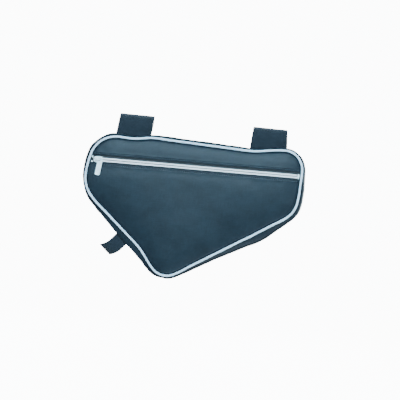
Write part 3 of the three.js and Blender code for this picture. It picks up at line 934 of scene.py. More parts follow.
def press(place, across):
    """Cuts the swell off where the tubes press: flat under a strap, and rising round its folded sides."""
    past_flat = np.abs(across) - FLAT_HALF
    beside = np.clip(past_flat + STRAP_ROUND, 0, 0.999 * STRAP_ROUND)
    rise = STRAP_ROUND - np.sqrt(STRAP_ROUND**2 - beside**2) + WALL_RISE * np.clip(past_flat / WALL_RUN, 0, 1)
    for normal, depth in (top_plane, low_plane):
        over = place @ normal - (depth + FLAT_CLEAR + rise)
        over = 0.5 * (over + np.sqrt(over**2 + FLAT_BLEND**2)) - FLAT_BLEND * 0.12
        place = place - np.clip(over, 0, None)[..., None] * normal
    return place


def build_gusset():
    """The strip, with close rows beside both seams."""
    columns = int(seam_length / GUSSET_STEP)
    along = np.arange(columns) * seam_length / columns
    share = np.linspace(-1, 1, GUSSET_ROWS)
    across = GUSSET_REACH * np.sign(share) * (1 - (1 - np.abs(share)) ** 1.5)
    grid_across, grid_along = np.meshgrid(across, along, indexing="ij")
    verts = stand(gusset_surface(grid_along, grid_across), grid_across).reshape(-1, 3)
    faces = grid_faces(GUSSET_ROWS, columns, close_columns=True)
    from_heart = (verts[faces[:, 0]] - stand(bag_heart, 0.0)) * (1, 0, 1)
    cloth = np.stack([grid_along, grid_across], -1).reshape(-1, 2)
    faces = turn_out(verts, faces, from_heart)
    wraps = (seam_length, 0)
    piece = make_piece("gusset_cloth", verts, faces, cloth, replaces="gusset", slot="body_cloth", wraps=wraps)
    thicken(piece, GUSSET_THICKNESS)
    return piece


gusset_piece = build_gusset()

# %% [markdown]
# ## The piping
# Piping is a cord wrapped in a strip of woven tape, sewn into the seam so that only the round part shows.
# A curve with a bevel would make the tube in one step, but a grid made here also carries cloth coordinates,
# which the diagonal weave of the tape needs, and its place and girth can be made a little uneven along it.

# %% Piping
PIPING_SIDES = 16
PIPING_STEP = 1.5
PIPING_SLACK = 0.6
PIPING_WRAP = 13.75
PIPING_WANDER = 0.12
GIRTH_ALONG = 0.035
GIRTH_ROUND = 0.03
TWILL_STEP = 1.1


def build_piping(name, side, seed):
    """The cord's round cover, a little uneven in its place and its girth."""
    columns = int(seam_length / PIPING_STEP)
    along = np.arange(columns) * seam_length / columns
    base = around(seam, along)
    angle = 2 * math.pi * np.arange(PIPING_SIDES)[:, None] / PIPING_SIDES
    wander = PIPING_WANDER * cloth_noise(along, 0 * along, 17, seed)
    girth = (piping_radius - PIPING_SLACK) * (1 + GIRTH_ALONG * cloth_noise(along, 0 * along, 5, seed + 1))
    girth = girth * (1 + GIRTH_ROUND * cloth_noise(along + 0 * angle, 8 * angle, 6, seed + 2))
    place = base + (wander + girth * np.cos(angle))[..., None] * around(seam_out, along)
    verts = stand(place, side * (seam_depth + girth * np.sin(angle))).reshape(-1, 3)
    faces = grid_faces(PIPING_SIDES, columns, close_rows=True, close_columns=True)
    centre_line = np.tile(stand(base, np.full(columns, side * seam_depth)), (PIPING_SIDES, 1))
    faces = turn_out(verts, faces, verts[faces].mean(1) - centre_line)
    cloth_length = round(seam_length / TWILL_STEP) * TWILL_STEP
    wraps = (cloth_length, PIPING_WRAP)
    stretched = along / seam_length * cloth_length, angle / (2 * math.pi) * PIPING_WRAP
    cloth = np.stack(np.meshgrid(*stretched), -1).reshape(-1, 2)
    return make_piece(name + "_cord", verts, faces, cloth, replaces=name, slot="piping_cloth", wraps=wraps)


piping_pieces = [build_piping("piping_front", -1, 81), build_piping("piping_back", 1, 91)]

# %% [markdown]
# ## Swept shapes
# Coil, thread, the slider's bridge and the straps are all one section carried along a line. Blender's
# curve bevel does that too, but it can't narrow a strap's end or bow its edge, and it gives no cloth
# coordinates. So the sweep is done on a grid of points, and its ends are closed with a flat cap.

# %% Sweep helpers
def oval_section(half_side, half_up, sides, power=2.0):
    """The points of a rounded section, as offsets to the side and up. A higher power gives a squarer one."""
    angle = 2 * math.pi * (np.arange(sides) + 0.5) / sides
    round_cos = np.sign(np.cos(angle)) * np.abs(np.cos(angle)) ** (2 / power)
    round_sin = np.sign(np.sin(angle)) * np.abs(np.sin(angle)) ** (2 / power)
    return np.stack([np.multiply.outer(half_side, round_cos), np.multiply.outer(half_up, round_sin)], -1)


def sweep(centres, side_axis, up_axis, section, first=0):
    """A capped tube: vertices and faces of a section carried along a line of centres."""
    section = np.broadcast_to(section, (len(centres),) + section.shape[-2:])
    verts = centres[:, None] + section[..., :1] * side_axis[:, None] + section[..., 1:] * up_axis[:, None]
    rows, columns = verts.shape[:2]
    verts = verts.reshape(-1, 3)
    faces = grid_faces(rows, columns, close_columns=True)
    corners = verts[faces]
    middle = centres[faces[:, 0] // columns]
    facing = np.cross(corners[:, 1] - corners[:, 0], corners[:, 3] - corners[:, 0])
    flip = (facing * (corners[:, 0] - middle)).sum() < 0
    caps = [list(range(columns)), list(range((rows - 1) * columns, rows * columns))]
    caps[0 if not flip else 1].reverse()
    faces = faces[:, ::-1] if flip else faces
    faces = (faces + first).tolist() + [[v + first for v in cap] for cap in caps]
    return verts, faces


def line_frame(centres, steady):
    """Side and up axes along a line, kept steady by a direction that the line never follows."""
    ahead = unit(np.gradient(centres, axis=0))
    side = unit(np.cross(np.broadcast_to(steady, centres.shape), ahead))
    return side, np.cross(ahead, side)


def join_parts(parts):
    """Several meshes as one list of vertices and faces."""
    verts, faces, first = [], [], 0
    for part_verts, part_faces in parts:
        verts.append(part_verts)
        faces += [[v + first for v in face] for face in part_faces]
        first += len(part_verts)
    return np.vstack(verts), faces

STITCH_ENDS = np.array([-1.0, -0.93, -0.7, -0.25, 0.25, 0.7, 0.93, 1.0])


def stitch_parts(starts, ends, out, radius, lift):
    """Stitches as small capsules between pairs of points, on cloth whose outward direction is known."""
    girth = radius * np.sqrt(np.clip(1 - np.abs(STITCH_ENDS) ** 4, 0.03, 1))
    sink = (lift - 0.55 * radius * STITCH_ENDS**2)[:, None] * out
    parts = []
    for start, end in zip(starts, ends):
        centres = (start + end) / 2 + STITCH_ENDS[:, None] * (end - start) / 2 + sink
        side, up = line_frame(centres, out)
        parts.append(sweep(centres, side, up, oval_section(girth, girth * 0.8, 6)))
    return parts


print("sweep helpers ready")

# %% [markdown]
# ## The zip's tape and coil
# The zip is a moulded-coil zip: two woven tapes, each with a spiral of plastic filament sewn along its
# edge, whose turns hook into each other. From a distance it is a light band with a dark line down its
# middle. A ribbed strip would pass for that, but up close the turns are what makes a zip a zip, so each
# spiral is a real one: a squashed helix, with its heads next to the centre line and a sewing thread over it.

# %% Zip pieces that lie in the slot
COIL_PITCH = 1.3
COIL_FILAMENT = 0.36
COIL_HEAD = 0.3
COIL_BACK = 3.0
COIL_HALF_HEIGHT = 0.82
COIL_TOP = 0.5
TURN_STEPS = 20
THREAD_AT = 2.15
THREAD_APART = 0.55
THREAD_RADIUS = 0.17
THREAD_WAVE = 0.16
TAPE_LIFT = -1.8
TAPE_THICKNESS = 0.6
TAPE_TUCK = 1.6
TAPE_STEP = 1.5
TAPE_COLUMNS = 30
TAPE_RIB = 1.9
TAPE_RIB_HEIGHT = 0.12


def on_zip(along, up, lift):
    """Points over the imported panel's surface at the zip, in bag coordinates."""
    plan = from_zip(along, up + 0 * along)
    return stand(plan, -(crown_height(inside_distance(plan)[0]) + lift))


def node_reach(name):
    """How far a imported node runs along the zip."""
    along = to_zip(node_plan(name))[0]
    return along.min(), along.max()


zip_axis = stand(zip_along, 0.0)
zip_side = stand(zip_up, 0.0)
coil_from, coil_to = node_reach("zip_coil_upper")


def build_coil(name, sign, phase):
    """One spiral of filament, squashed, with thicker heads next to the centre line."""
    turns = (coil_to - coil_from - 2 * COIL_FILAMENT) / COIL_PITCH
    turn = np.arange(int(turns * TURN_STEPS) + 1) / TURN_STEPS
    angle = 2 * math.pi * turn
    half = (COIL_BACK - COIL_HEAD) / 2 - COIL_FILAMENT
    half_high = COIL_HALF_HEIGHT - COIL_FILAMENT / 2
    squash = np.sign(np.cos(angle)) * np.abs(np.cos(angle)) ** 0.8
    up = sign * ((COIL_BACK + COIL_HEAD) / 2 - half * squash)
    lift = COIL_TOP - COIL_HALF_HEIGHT - COIL_FILAMENT / 2 + half_high * np.sin(angle)
    centres = on_zip(coil_from + COIL_FILAMENT + COIL_PITCH * (turn + phase), up, lift)
    side, out = line_frame(centres, zip_axis)
    head = COIL_FILAMENT * (1 + 0.16 * np.clip(squash, 0, 1) ** 2)
    verts, faces = sweep(centres, side, out, oval_section(head, head, 6))
    return make_piece(name + "_turns", verts, faces, replaces=name, slot="zip_coil")


def build_coil_thread(name, sign):
    """The double row of sewing that holds a coil to its tape."""
    along = np.arange(coil_from + 0.4, coil_to - 0.4, COIL_PITCH / 4)
    girth = np.full(len(along), THREAD_RADIUS)
    parts = []
    for k in (0, 1):
        wave = THREAD_WAVE * np.cos(2 * math.pi * (along - coil_from) / COIL_PITCH + 2 * k)
        centres = on_zip(along, sign * (THREAD_AT + k * THREAD_APART), COIL_TOP - 0.1 + wave)
        side, out = line_frame(centres, zip_side)
        parts.append(sweep(centres, side, out, oval_section(girth, girth, 5)))
    return make_piece(name, *join_parts(parts), slot="zip_tape")


def build_tape():
    """The woven tape behind the slot, tucked under the panels' edge at both ends."""
    reach = node_reach("zip_tape")
    along = np.arange(reach[0] - TAPE_TUCK, reach[1] + TAPE_TUCK, TAPE_STEP)
    tape = to_zip(node_plan("zip_tape"))[1]
    across = np.linspace(tape.min() + 0.2, tape.max() - 0.2, TAPE_COLUMNS)
    grid_along, grid_up = np.meshgrid(along, across, indexing="ij")
    room = panel_half_heights(along)
    grid_up = np.clip(grid_up, room[:, :1], room[:, 1:])
    rib = TAPE_RIB_HEIGHT * np.cos(2 * math.pi * grid_up.ravel() / TAPE_RIB)
    top, under = (
        on_zip(grid_along.ravel(), grid_up.ravel(), lift + rib).reshape(grid_up.shape + (3,))
        for lift in (TAPE_LIFT, TAPE_LIFT - TAPE_THICKNESS)
    )
    verts = np.concatenate([top, under[:, ::-1]], 1)
    rows, columns = verts.shape[:2]
    faces = grid_faces(rows, columns, close_columns=True).tolist()
    faces += [list(range(columns))[::-1], list(range((rows - 1) * columns, rows * columns))]
    cloth = np.stack([grid_along, grid_up], -1)
    cloth = np.concatenate([cloth, cloth[:, ::-1]], 1).reshape(-1, 2)
    verts = verts.reshape(-1, 3)
    piece = make_piece("zip_tape_woven", verts, faces, cloth, replaces="zip_tape", slot="zip_tape")
    join_close_vertices(piece)
    return piece


def panel_half_heights(along):
    """How far below and above the zip the panel's edge allows the tape to reach, at places along it."""
    edge_along, edge_up = to_zip(panel_edge)
    heights = []
    for sign in (-1, 1):
        rim = edge_up * sign > 0
        order = np.argsort(edge_along[rim])
        height = np.interp(along, edge_along[rim][order], (edge_up * sign)[rim][order])
        heights.append(sign * (height + TAPE_TUCK))
    return np.stack(heights, 1)


tape_piece = build_tape()
coil_pieces = [build_coil("zip_coil_upper", 1, 0.0), build_coil("zip_coil_lower", -1, 0.5)]
thread_pieces = [build_coil_thread("zip_thread_upper", 1), build_coil_thread("zip_thread_lower", -1)]

# %% [markdown]
# ## Small metal parts
# The slider, its pull and the stops are cast or stamped metal, a few millimetres across. Each is a flat
# plan with rounded edges, a hole or a hollow. Beveling a box leaves pinched corners on such plans, so the
# height of the metal is given as a function of how far a point lies inside the edge, over a fine
# triangulation with close rows beside the edge, once for the face and once for the underside.

# %% Plates with rounded edges
PLATE_ROWS = (0.04, 0.13, 0.28, 0.5)
PLATE_STEP = 0.42


def round_corners(points, times):
    """Cuts a closed outline's corners, again and again, until they are round."""
    for _ in range(times):
        ahead = np.roll(points, -1, 0)
        points = np.stack([0.75 * points + 0.25 * ahead, 0.25 * points + 0.75 * ahead], 1).reshape(-1, 2)
    return points


def edge_gap(points, loops):
    """Distance from points to the nearest of several closed outlines."""
    return np.min([gap_to_loop(points, loop)[0] for loop in loops], axis=0)


def inside_loop(points, loop):
    """Which points lie inside a closed outline."""
    x, y = points[:, None, 0], points[:, None, 1]
    ahead = np.roll(loop, -1, 0)
    crosses = (loop[:, 1] > y) != (ahead[:, 1] > y)
    with np.errstate(divide="ignore", invalid="ignore"):
        at = loop[:, 0] + (y - loop[:, 1]) / (ahead[:, 1] - loop[:, 1]) * (ahead[:, 0] - loop[:, 0])
    return (crosses & (x < at)).sum(1) % 2 == 1


def plate(outline, holes, face_at, under_at, step=PLATE_STEP):
    """A plate over a plan. face_at and under_at give heights from plan points and their edge distance."""
    loops = [even_steps(loop, step * 0.7) for loop in [outline] + holes]
    rows, spare = [], []
    for loop in loops:
        for row in PLATE_ROWS:
            for side in (-row, row):
                rows.append(loop + side * flank(heading(loop)))
                spare.append(np.full(len(loop), row - 0.02))
    rows.append(honeycomb(loops[0].min(0), loops[0].max(0), step))
    spare.append(np.full(len(rows[-1]), PLATE_ROWS[-1] + 0.3 * step))
    inner = np.vstack(rows)
    keep = inside_loop(inner, loops[0]) & (edge_gap(inner, loops) > np.concatenate(spare))
    for hole in loops[1:]:
        keep &= ~inside_loop(inner, hole)
    plan, faces = triangulate(loops, inner[keep], 1e-5)
    for hole in loops[1:]:
        faces = faces[~inside_loop(plan[faces].mean(1), hole)]
    gap = edge_gap(plan, loops)
    gap[gap < 1e-3] = 0
    a, b, c = (plan[faces[:, k]] for k in range(3))
    clockwise = np.cross(b - a, c - a) < 0
    faces[clockwise] = faces[clockwise][:, ::-1]
    verts = np.vstack([np.column_stack([plan, height(plan, gap)]) for height in (face_at, under_at)])
    walls = wall_faces(faces, len(plan))
    return verts, faces.tolist() + (faces[:, ::-1] + len(plan)).tolist() + walls


def wall_faces(faces, count):
    """Quads that join a face and its underside along every open edge."""
    edges = {}
    for a, b, c in faces.tolist():
        for start, end in ((a, b), (b, c), (c, a)):
            edges[(start, end)] = True
    open_edges = [edge for edge in edges if (edge[1], edge[0]) not in edges]
    return [[end, start, start + count, end + count] for start, end in open_edges]


def rounding(gap, radius):
    """How far a rounded edge falls away, at a distance inside the edge."""
    inside = np.minimum(gap, radius)
    return radius - np.sqrt(radius**2 - (radius - inside) ** 2)


def arc_points(centre, radius, start, end, steps):
    """Points on an arc, with its angles in degrees."""
    angle = np.radians(np.linspace(start, end, steps))
    return np.stack([centre[0] + radius * np.cos(angle), centre[1] + radius * np.sin(angle)], 1)


def place_plate(made, origin, axis_u, axis_v, normal):
    """A plate's vertices, moved from its plan to the bag."""
    verts, faces = made
    return origin + verts[:, :1] * axis_u + verts[:, 1:2] * axis_v + verts[:, 2:] * normal, faces


print("plate helpers ready")

# %% [markdown]
# ## Slider, pull and stops
# The slider is a cast plate with a bridge on it, and the pull hangs on the bridge's rear leg and swings.
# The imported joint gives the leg's place and the direction that the slider faces, so both pieces are built
# in that frame and move exactly as the motion model says. The pull is a tongue with a raised rim, a hollow
# face and a slotted eye. The stops are small clamped blocks at the coil's ends.

# %% The slider's frame
SLIDER_TOP = 5.2
PEG_FROM_MIDDLE = 3.7
PULL_LEAN = math.radians(8)

pull_joint = next(joint for joint in frame["joints"] if joint["name"] == "pull_swing")
slider_out = -unit(np.array(pull_joint["axis"]))
tilt = np.array([-slider_out[1], slider_out[0]])
slider_along = np.array([zip_along[0] * tilt[0], zip_along[0] * tilt[1], zip_along[1]])
slider_up = np.cross(slider_along, -slider_out)
slider_up = slider_up * np.sign(slider_up[2])
surface_level = (node_points("zip_slider") @ slider_out).max() - SLIDER_TOP
peg = np.array(pull_joint["pos_m"]) / MM
peg = peg + (surface_level - peg @ slider_out) * slider_out
slider_middle = peg - PEG_FROM_MIDDLE * slider_along
print("slider at", slider_middle.round(2), "faces", slider_out.round(3))

# %% Slider
PLATE_LOW = 0.8
PLATE_HIGH = 2.0
CHANNEL_HALF = 3.5
FLANGE_DROP = 2.25
ARCH_MIDDLE = 4.62
ARCH_BEND = 1.15
ARCH_HALF_THICK = 0.58
ARCH_HALF_WIDE = 1.1
LEG_HALF = 0.78
LEG_LOW = 1.3
LEG_TOP = 2.4
# Half of the slider's plan: its rear point, rear shoulder and front mouth.
SLIDER_SIDE = ((-5.25, 0), (-6.3, 2.35), (-4.2, 4.7), (5.25, 4.4), (6.3, 3.08))


def slider_body():
    """The cast plate with its two flanges."""
    outline = np.array(SLIDER_SIDE + tuple((u, -v) for u, v in SLIDER_SIDE[:0:-1]))
    outline = round_corners(outline[::-1], 3)

    def face_at(plan, gap):
        waist = 0.16 * bell(plan[:, 0], 0, 3.4) * (np.abs(plan[:, 1]) > 1.6)
        return PLATE_HIGH - rounding(gap, 0.55) + 0.1 * np.clip(gap / 3, 0, 1) - waist

    def under_at(plan, gap):
        in_flange = np.clip((np.abs(plan[:, 1]) - CHANNEL_HALF) / 0.25, 0, 1)
        return PLATE_LOW - FLANGE_DROP * in_flange + rounding(gap, 0.3)

    made = plate(outline, [], face_at, under_at)
    return place_plate(made, slider_middle, slider_along, slider_up, slider_out)


def bridge_part():
    """The arch over the plate, from one leg to the other."""
    reach, bend, top = PEG_FROM_MIDDLE, ARCH_BEND, ARCH_MIDDLE - ARCH_BEND
    left = arc_points((-reach + bend, top), bend, 180, 90, 9)
    right = arc_points((reach - bend, top), bend, 90, 0, 9)
    legs = [[(side, height) for height in (LEG_LOW, LEG_TOP)] for side in (-reach, reach)]
    path = np.vstack([legs[0], left, [(0, ARCH_MIDDLE)], right, legs[1][::-1]])
    centres = slider_middle + path[:, :1] * slider_along + path[:, 1:] * slider_out
    side, up = line_frame(centres, slider_up)
    low = np.clip((ARCH_MIDDLE - path[:, 1]) / bend, 0, 1)
    thick = ARCH_HALF_THICK + (LEG_HALF - ARCH_HALF_THICK) * low
    width = ARCH_HALF_WIDE + 0.25 * np.clip((2.6 - path[:, 1]) / 0.8, 0, 1) ** 2
    return sweep(centres, side, up, oval_section(thick, width, 16, 3.2))


verts, faces = join_parts([slider_body(), bridge_part()])
slider_piece = make_piece("zip_slider_cast", verts, faces, replaces="zip_slider", slot="zip_metal")

# %% Pull
PULL_LOW = 2.375
PULL_FACE = 3.375
PULL_RIM = 3.625
PULL_ROUND = 0.42
PULL_STEP = 0.4
PULL_LENGTH = 22.8
PULL_HALF = 3.7
EYE_RADIUS = 1.9
EYE_SLOT = 1.2
EYE_WALL = 1.4
RIM_WIDTH = 1.2


def pull_part():
    """The tongue with its raised rim, its hollow face and the slotted eye that the bridge goes through."""
    cap = EYE_RADIUS + EYE_WALL
    corner = PULL_HALF / 2
    outline = np.vstack([
        arc_points((0, 0), cap, 0, 180, 40),
        [(-PULL_HALF, -2 * cap)],
        arc_points((-PULL_HALF + corner, -PULL_LENGTH + corner), corner, 180, 270, 12),
        arc_points((PULL_HALF - corner, -PULL_LENGTH + corner), corner, 270, 360, 12),
        [(PULL_HALF, -2 * cap)],
    ])
    eye = np.vstack([
        arc_points((0, 0), EYE_RADIUS, 0, 180, 30),
        arc_points((0, -EYE_SLOT), EYE_RADIUS, 180, 360, 30),
    ])
    hollow = PULL_HALF - RIM_WIDTH
    top = -(EYE_SLOT + EYE_RADIUS + RIM_WIDTH) - hollow
    foot = -(PULL_LENGTH - RIM_WIDTH) + hollow

    def face_at(plan, gap):
        nearest = np.clip(plan[:, 1], foot, top)
        from_line = np.hypot(plan[:, 0], plan[:, 1] - nearest) - hollow
        sunk = soft(np.clip((0.15 - from_line) / 0.6, 0, 1))
        return PULL_RIM - (PULL_RIM - PULL_FACE + 0.12) * sunk - rounding(gap, PULL_ROUND)

    def under_at(plan, gap):
        return PULL_LOW + rounding(gap, PULL_ROUND)

    lean = math.cos(PULL_LEAN) * slider_along - math.sin(PULL_LEAN) * slider_up
    rise = math.sin(PULL_LEAN) * slider_along + math.cos(PULL_LEAN) * slider_up
    return place_plate(plate(outline, [eye], face_at, under_at, PULL_STEP), peg, lean, rise, slider_out)


verts, faces = pull_part()
pull_piece = make_piece("zip_pull_tongue", verts, faces, body="pull", replaces="zip_pull", slot="zip_metal")

# %% Stops
STOP_LOW = -1.5
STOP_HIGH = -0.1
STOP_STEP = 0.3
# The places of each stop's crimped lines along the zip, from its middle.
STOP_GROOVES = {
    "zip_top_stop_upper": (-0.55, 0.35),
    "zip_top_stop_lower": (-0.55, 0.35),
    "zip_bottom_stop": (-0.9, 0.0, 0.9),
}


def build_stop(name, grooves):
    """A clamped block with crimped lines."""
    reach = np.stack(to_zip(node_plan(name)))
    half = np.ptp(reach, axis=1) / 2
    middle_along, middle_up = half + reach.min(1)
    outline = round_corners(np.array([(-1, -1), (1, -1), (1, 1), (-1, 1)]) * half, 4)
    outline = outline * half / np.abs(outline).max(0)

    def face_at(plan, gap):
        crimp = sum(0.3 * bell(plan[:, 0], place, 0.22) for place in grooves)
        return STOP_HIGH - rounding(gap, 0.5) - crimp * np.clip(gap / 0.5, 0, 1)

    def under_at(plan, gap):
        return STOP_LOW + rounding(gap, 0.3)

    near, far = on_zip(middle_along + np.array([-0.5, 0.5]), middle_up, 0)
    lengthwise = unit(far - near)
    outward = np.cross(lengthwise, zip_side)
    outward = unit(outward * -np.sign(outward[1]))
    made = plate(outline, [], face_at, under_at, STOP_STEP)
    verts, faces = place_plate(made, (near + far) / 2, lengthwise, zip_side, outward)
    return make_piece(name + "_clamp", verts, faces, replaces=name, slot="zip_metal")


stop_pieces = [build_stop(name, grooves) for name, grooves in STOP_GROOVES.items()]

# %% [markdown]
# ## The straps
# Three loops of hook-and-loop tape hold the bag to the frame. Each is sewn to the gusset, goes up the front
# of its tube, over the top, and laps down the back over its own end. The straps ride with the bag and hold
# the shape of the tube that they are worn on. The line of the loop is drawn in the tube's section, and a
# section with rounded selvages and slightly thinner borders is swept along it. Real tape never lies quite
# true, so its edges wander a little.

# %% Strap shapes
STRAP_RADIUS = 15.45
STRAP_LAP_RADIUS = 17.35
STRAP_REACH = 16.25
STRAP_FOLD = 3.0
STRAP_LAP_BELOW = 6.5
STRAP_LAP_DEGREES = 42
STRAP_EASE_FROM = 0.3
STRAP_HALF_THICK = 0.72
STRAP_STEP = 1.0
STRAP_WANDER = 0.28
STRAP_SWAY = 0.12
STRAP_SWAY_MOST = 0.08
STRAP_TRIM = 0.25
STRAP_END_CUT = 2.2
STRAP_START_CUT = 0.8
SELVAGE = 2.6
SELVAGE_DIP = 0.16
BAG_ACROSS = np.array([0.0, 1.0, 0.0])
LEVEL_AXES = {"along": np.array([1.0, 0.0, 0.0]), "away": np.array([0.0, 0.0, 1.0])}
LOW_AXES = {"along": np.array([-0.7561, 0.0, 0.6544]), "away": np.array([-0.6544, 0.0, -0.7561])}
# Middles, widths and sewn boxes in millimetres, and shares of lean, bow and flare.
STRAPS = {
    "strap_top_front": {"middle": (-97.5, 0.0, 0.0), "width": 50, "lean": 0.099, "bow": 0, "flare": 0.01,
                        "box": (17.0, 8.0), **LEVEL_AXES},
    "strap_top_rear": {"middle": (97.5, 0.0, 0.0), "width": 50, "lean": 0.005, "bow": 0, "flare": 0.075,
                       "box": (17.0, 8.0), **LEVEL_AXES},
    "strap_down_tube": {"middle": (-108.40, 0.0, -172.69), "width": 21.5, "lean": 0, "bow": 0.32, "flare": 0.02,
                        "box": (6.8, 8.0), **LOW_AXES},
}


def strap_line():
    """The loop in its tube's section: across the bag, and height over the tube's middle."""
    inner, fold = STRAP_RADIUS, STRAP_FOLD
    share = np.linspace(0, 1, 60)
    angle = math.pi * (1 - share)
    ease_to = 1 - (STRAP_LAP_DEGREES + 15) / 180
    ease = np.clip((share - STRAP_EASE_FROM) / (ease_to - STRAP_EASE_FROM), 0, 1)
    radius = inner + (STRAP_LAP_RADIUS - inner) * soft(ease)
    line = np.vstack([
        arc_points((0, 0), inner, STRAP_LAP_DEGREES, 0, 14),
        arc_points((inner - fold, -inner + fold), fold, 0, -90, 8),
        arc_points((-inner + fold, -inner + fold), fold, -90, -180, 8),
        np.stack([radius * np.cos(angle), radius * np.sin(angle)], 1),
        [(STRAP_LAP_RADIUS, -STRAP_LAP_BELOW)],
    ])
    length = walked(line)[-1]
    at = np.linspace(0, length, int(length / STRAP_STEP))
    return points_at(at, line), at


def strap_section(half_width, columns=30):
    """The tape's section: flat in the middle, a thinner border, and half-round selvages."""
    thick = STRAP_HALF_THICK
    top_side = np.linspace(-1, 1, columns)
    top_side = np.sign(top_side) * (1 - (1 - np.abs(top_side)) ** 1.25) * (half_width - thick)
    border = SELVAGE_DIP * bell(half_width - np.abs(top_side), SELVAGE, 0.55)
    top = np.stack([top_side, thick - border], 1)
    edge = arc_points((half_width - thick, 0), thick, 60, -60, 5)
    return np.vstack([top, edge, top[::-1] * (1, -1), edge[::-1] * (-1, 1)])


def strap_place(flat, spec):
    """Moves points from the tube's section to the bag, with the strap's lean, flare and bow."""
    side, y, h = (flat[..., k, None] for k in range(3))
    near_bag = np.clip((STRAP_REACH - h) / (2 * STRAP_REACH), 0, 1)
    far = np.clip(h / STRAP_REACH, 0, None)
    x = side * (1 + spec["flare"] * near_bag) + spec["lean"] * h + spec["bow"] * STRAP_REACH * far**2
    return spec["middle"] + x * spec["along"] + h * spec["away"] + y * BAG_ACROSS


def build_strap(name, spec, seed):
    """One loop of tape, narrowed at its two ends."""
    line, at = strap_line()
    end_left = at[-1] - at
    narrowing = STRAP_END_CUT * np.clip(1 - end_left / 3.0, 0, 1) ** 2
    narrowing += STRAP_START_CUT * np.clip(1 - at / 2.0, 0, 1) ** 2
    section = np.stack([strap_section(spec["width"] / 2 - STRAP_TRIM - less) for less in narrowing])
    section[..., 0] += (STRAP_WANDER * cloth_noise(at, 0 * at, 21, seed))[:, None]
    sway = STRAP_SWAY * cloth_noise(at[:, None] + 0 * section[..., 0], section[..., 0], 9, seed + 1)
    calm = np.clip(np.minimum(at, end_left) / 6, 0, 1)[:, None]
    section[..., 1] += np.clip(sway * calm, -STRAP_SWAY_MOST, STRAP_SWAY_MOST)
    centres = np.column_stack([0 * at, line])
    across = np.broadcast_to([1.0, 0.0, 0.0], centres.shape)
    thick = unit(np.cross(across, np.gradient(centres, axis=0)))
    flat, faces = sweep(centres, across, thick, section)
    cloth = np.stack([np.repeat(at, section.shape[1]), np.tile(walked(section[0]), len(at))], 1)
    verts = strap_place(flat, spec)
    return make_piece(name + "_tape", verts, faces, cloth, replaces=name, slot="strap_tape")


strap_pieces = [build_strap(name, spec, 101 + 10 * k) for k, (name, spec) in enumerate(STRAPS.items())]

# %% Rows of stitches
THREAD_LENGTH = 2.3
THREAD_GAP = 0.75
HEM_THREAD = 0.24
STRAP_THREAD = 0.26


def hem_stitches(name, region, seed):
    """The row of top-stitching that holds a hem down, lying in its groove."""
    level = region[0] + region[1] * HEM_STITCH
    reach = [edge_crossing(level, side) for side in (-1, 1)]
    starts = np.arange(reach[0] + 2.5, reach[1] - 4.0, THREAD_LENGTH + THREAD_GAP)
    ends = []
    for shift in (0.0, THREAD_LENGTH):
        plan = from_zip(starts + shift, np.full(len(starts), level))
        ends.append(stand(plan, -face_height(plan, np.zeros(len(plan)), region, seed)))
    parts = stitch_parts(*ends, np.array([0.0, -1.0, 0.0]), HEM_THREAD, 0.1)
    return make_piece(name, *join_parts(parts), slot="body_cloth")


def strap_stitches(name, spec):
    """A sewn box with its cross where a strap lies on the gusset, seen inside the loop."""
    corners = np.array([(-1, -1), (1, -1), (1, 1), (-1, 1)]) * spec["box"]
    starts, ends = [], []
    for first, last in ((0, 1), (1, 2), (2, 3), (3, 0), (0, 2), (1, 3)):
        start, way = corners[first], corners[last] - corners[first]
        count = int(np.linalg.norm(way) / (THREAD_LENGTH + THREAD_GAP))
        for k in range(count):
            starts.append(start + way * (k + 0.12) / count)
            ends.append(start + way * (k + 0.85) / count)
    level = np.full(len(starts), STRAP_HALF_THICK - STRAP_RADIUS)
    places = [strap_place(np.column_stack([flat, level]), spec) for flat in (starts, ends)]
    parts = stitch_parts(*places, spec["away"], STRAP_THREAD, 0.05)
    return make_piece(name + "_stitches", *join_parts(parts), slot="strap_tape")


stitch_pieces = [hem_stitches("hem_stitches_upper", UPPER, 11), hem_stitches("hem_stitches_lower", LOWER, 23)]
stitch_pieces += [strap_stitches(name, spec) for name, spec in STRAPS.items()]

# %% [markdown]
# ## Shader sums
# A finish is worked out by a network of nodes. Wiring each sum by hand hides what it means, so a socket is
# wrapped in a small class whose operators add the Math nodes: the sums below then read as sums. Every other
# node comes from one method, which sets the node's own settings first and then its sockets.

# %% Wires and finishes
class Wire:
    """A node's output that can be used in a sum."""

    def __init__(self, finish, socket):
        self.finish, self.socket = finish, socket

    def __add__(self, other):
        return self.finish.maths("ADD", self, other)

    def __sub__(self, other):
        return self.finish.maths("SUBTRACT", self, other)

    def __rsub__(self, other):
        return self.finish.maths("SUBTRACT", other, self)

    def __mul__(self, other):
        return self.finish.maths("MULTIPLY", self, other)

    def __truediv__(self, other):
        return self.finish.maths("DIVIDE", self, other)

    def __pow__(self, other):
        return self.finish.maths("POWER", self, other)

    __radd__ = __add__
    __rmul__ = __mul__


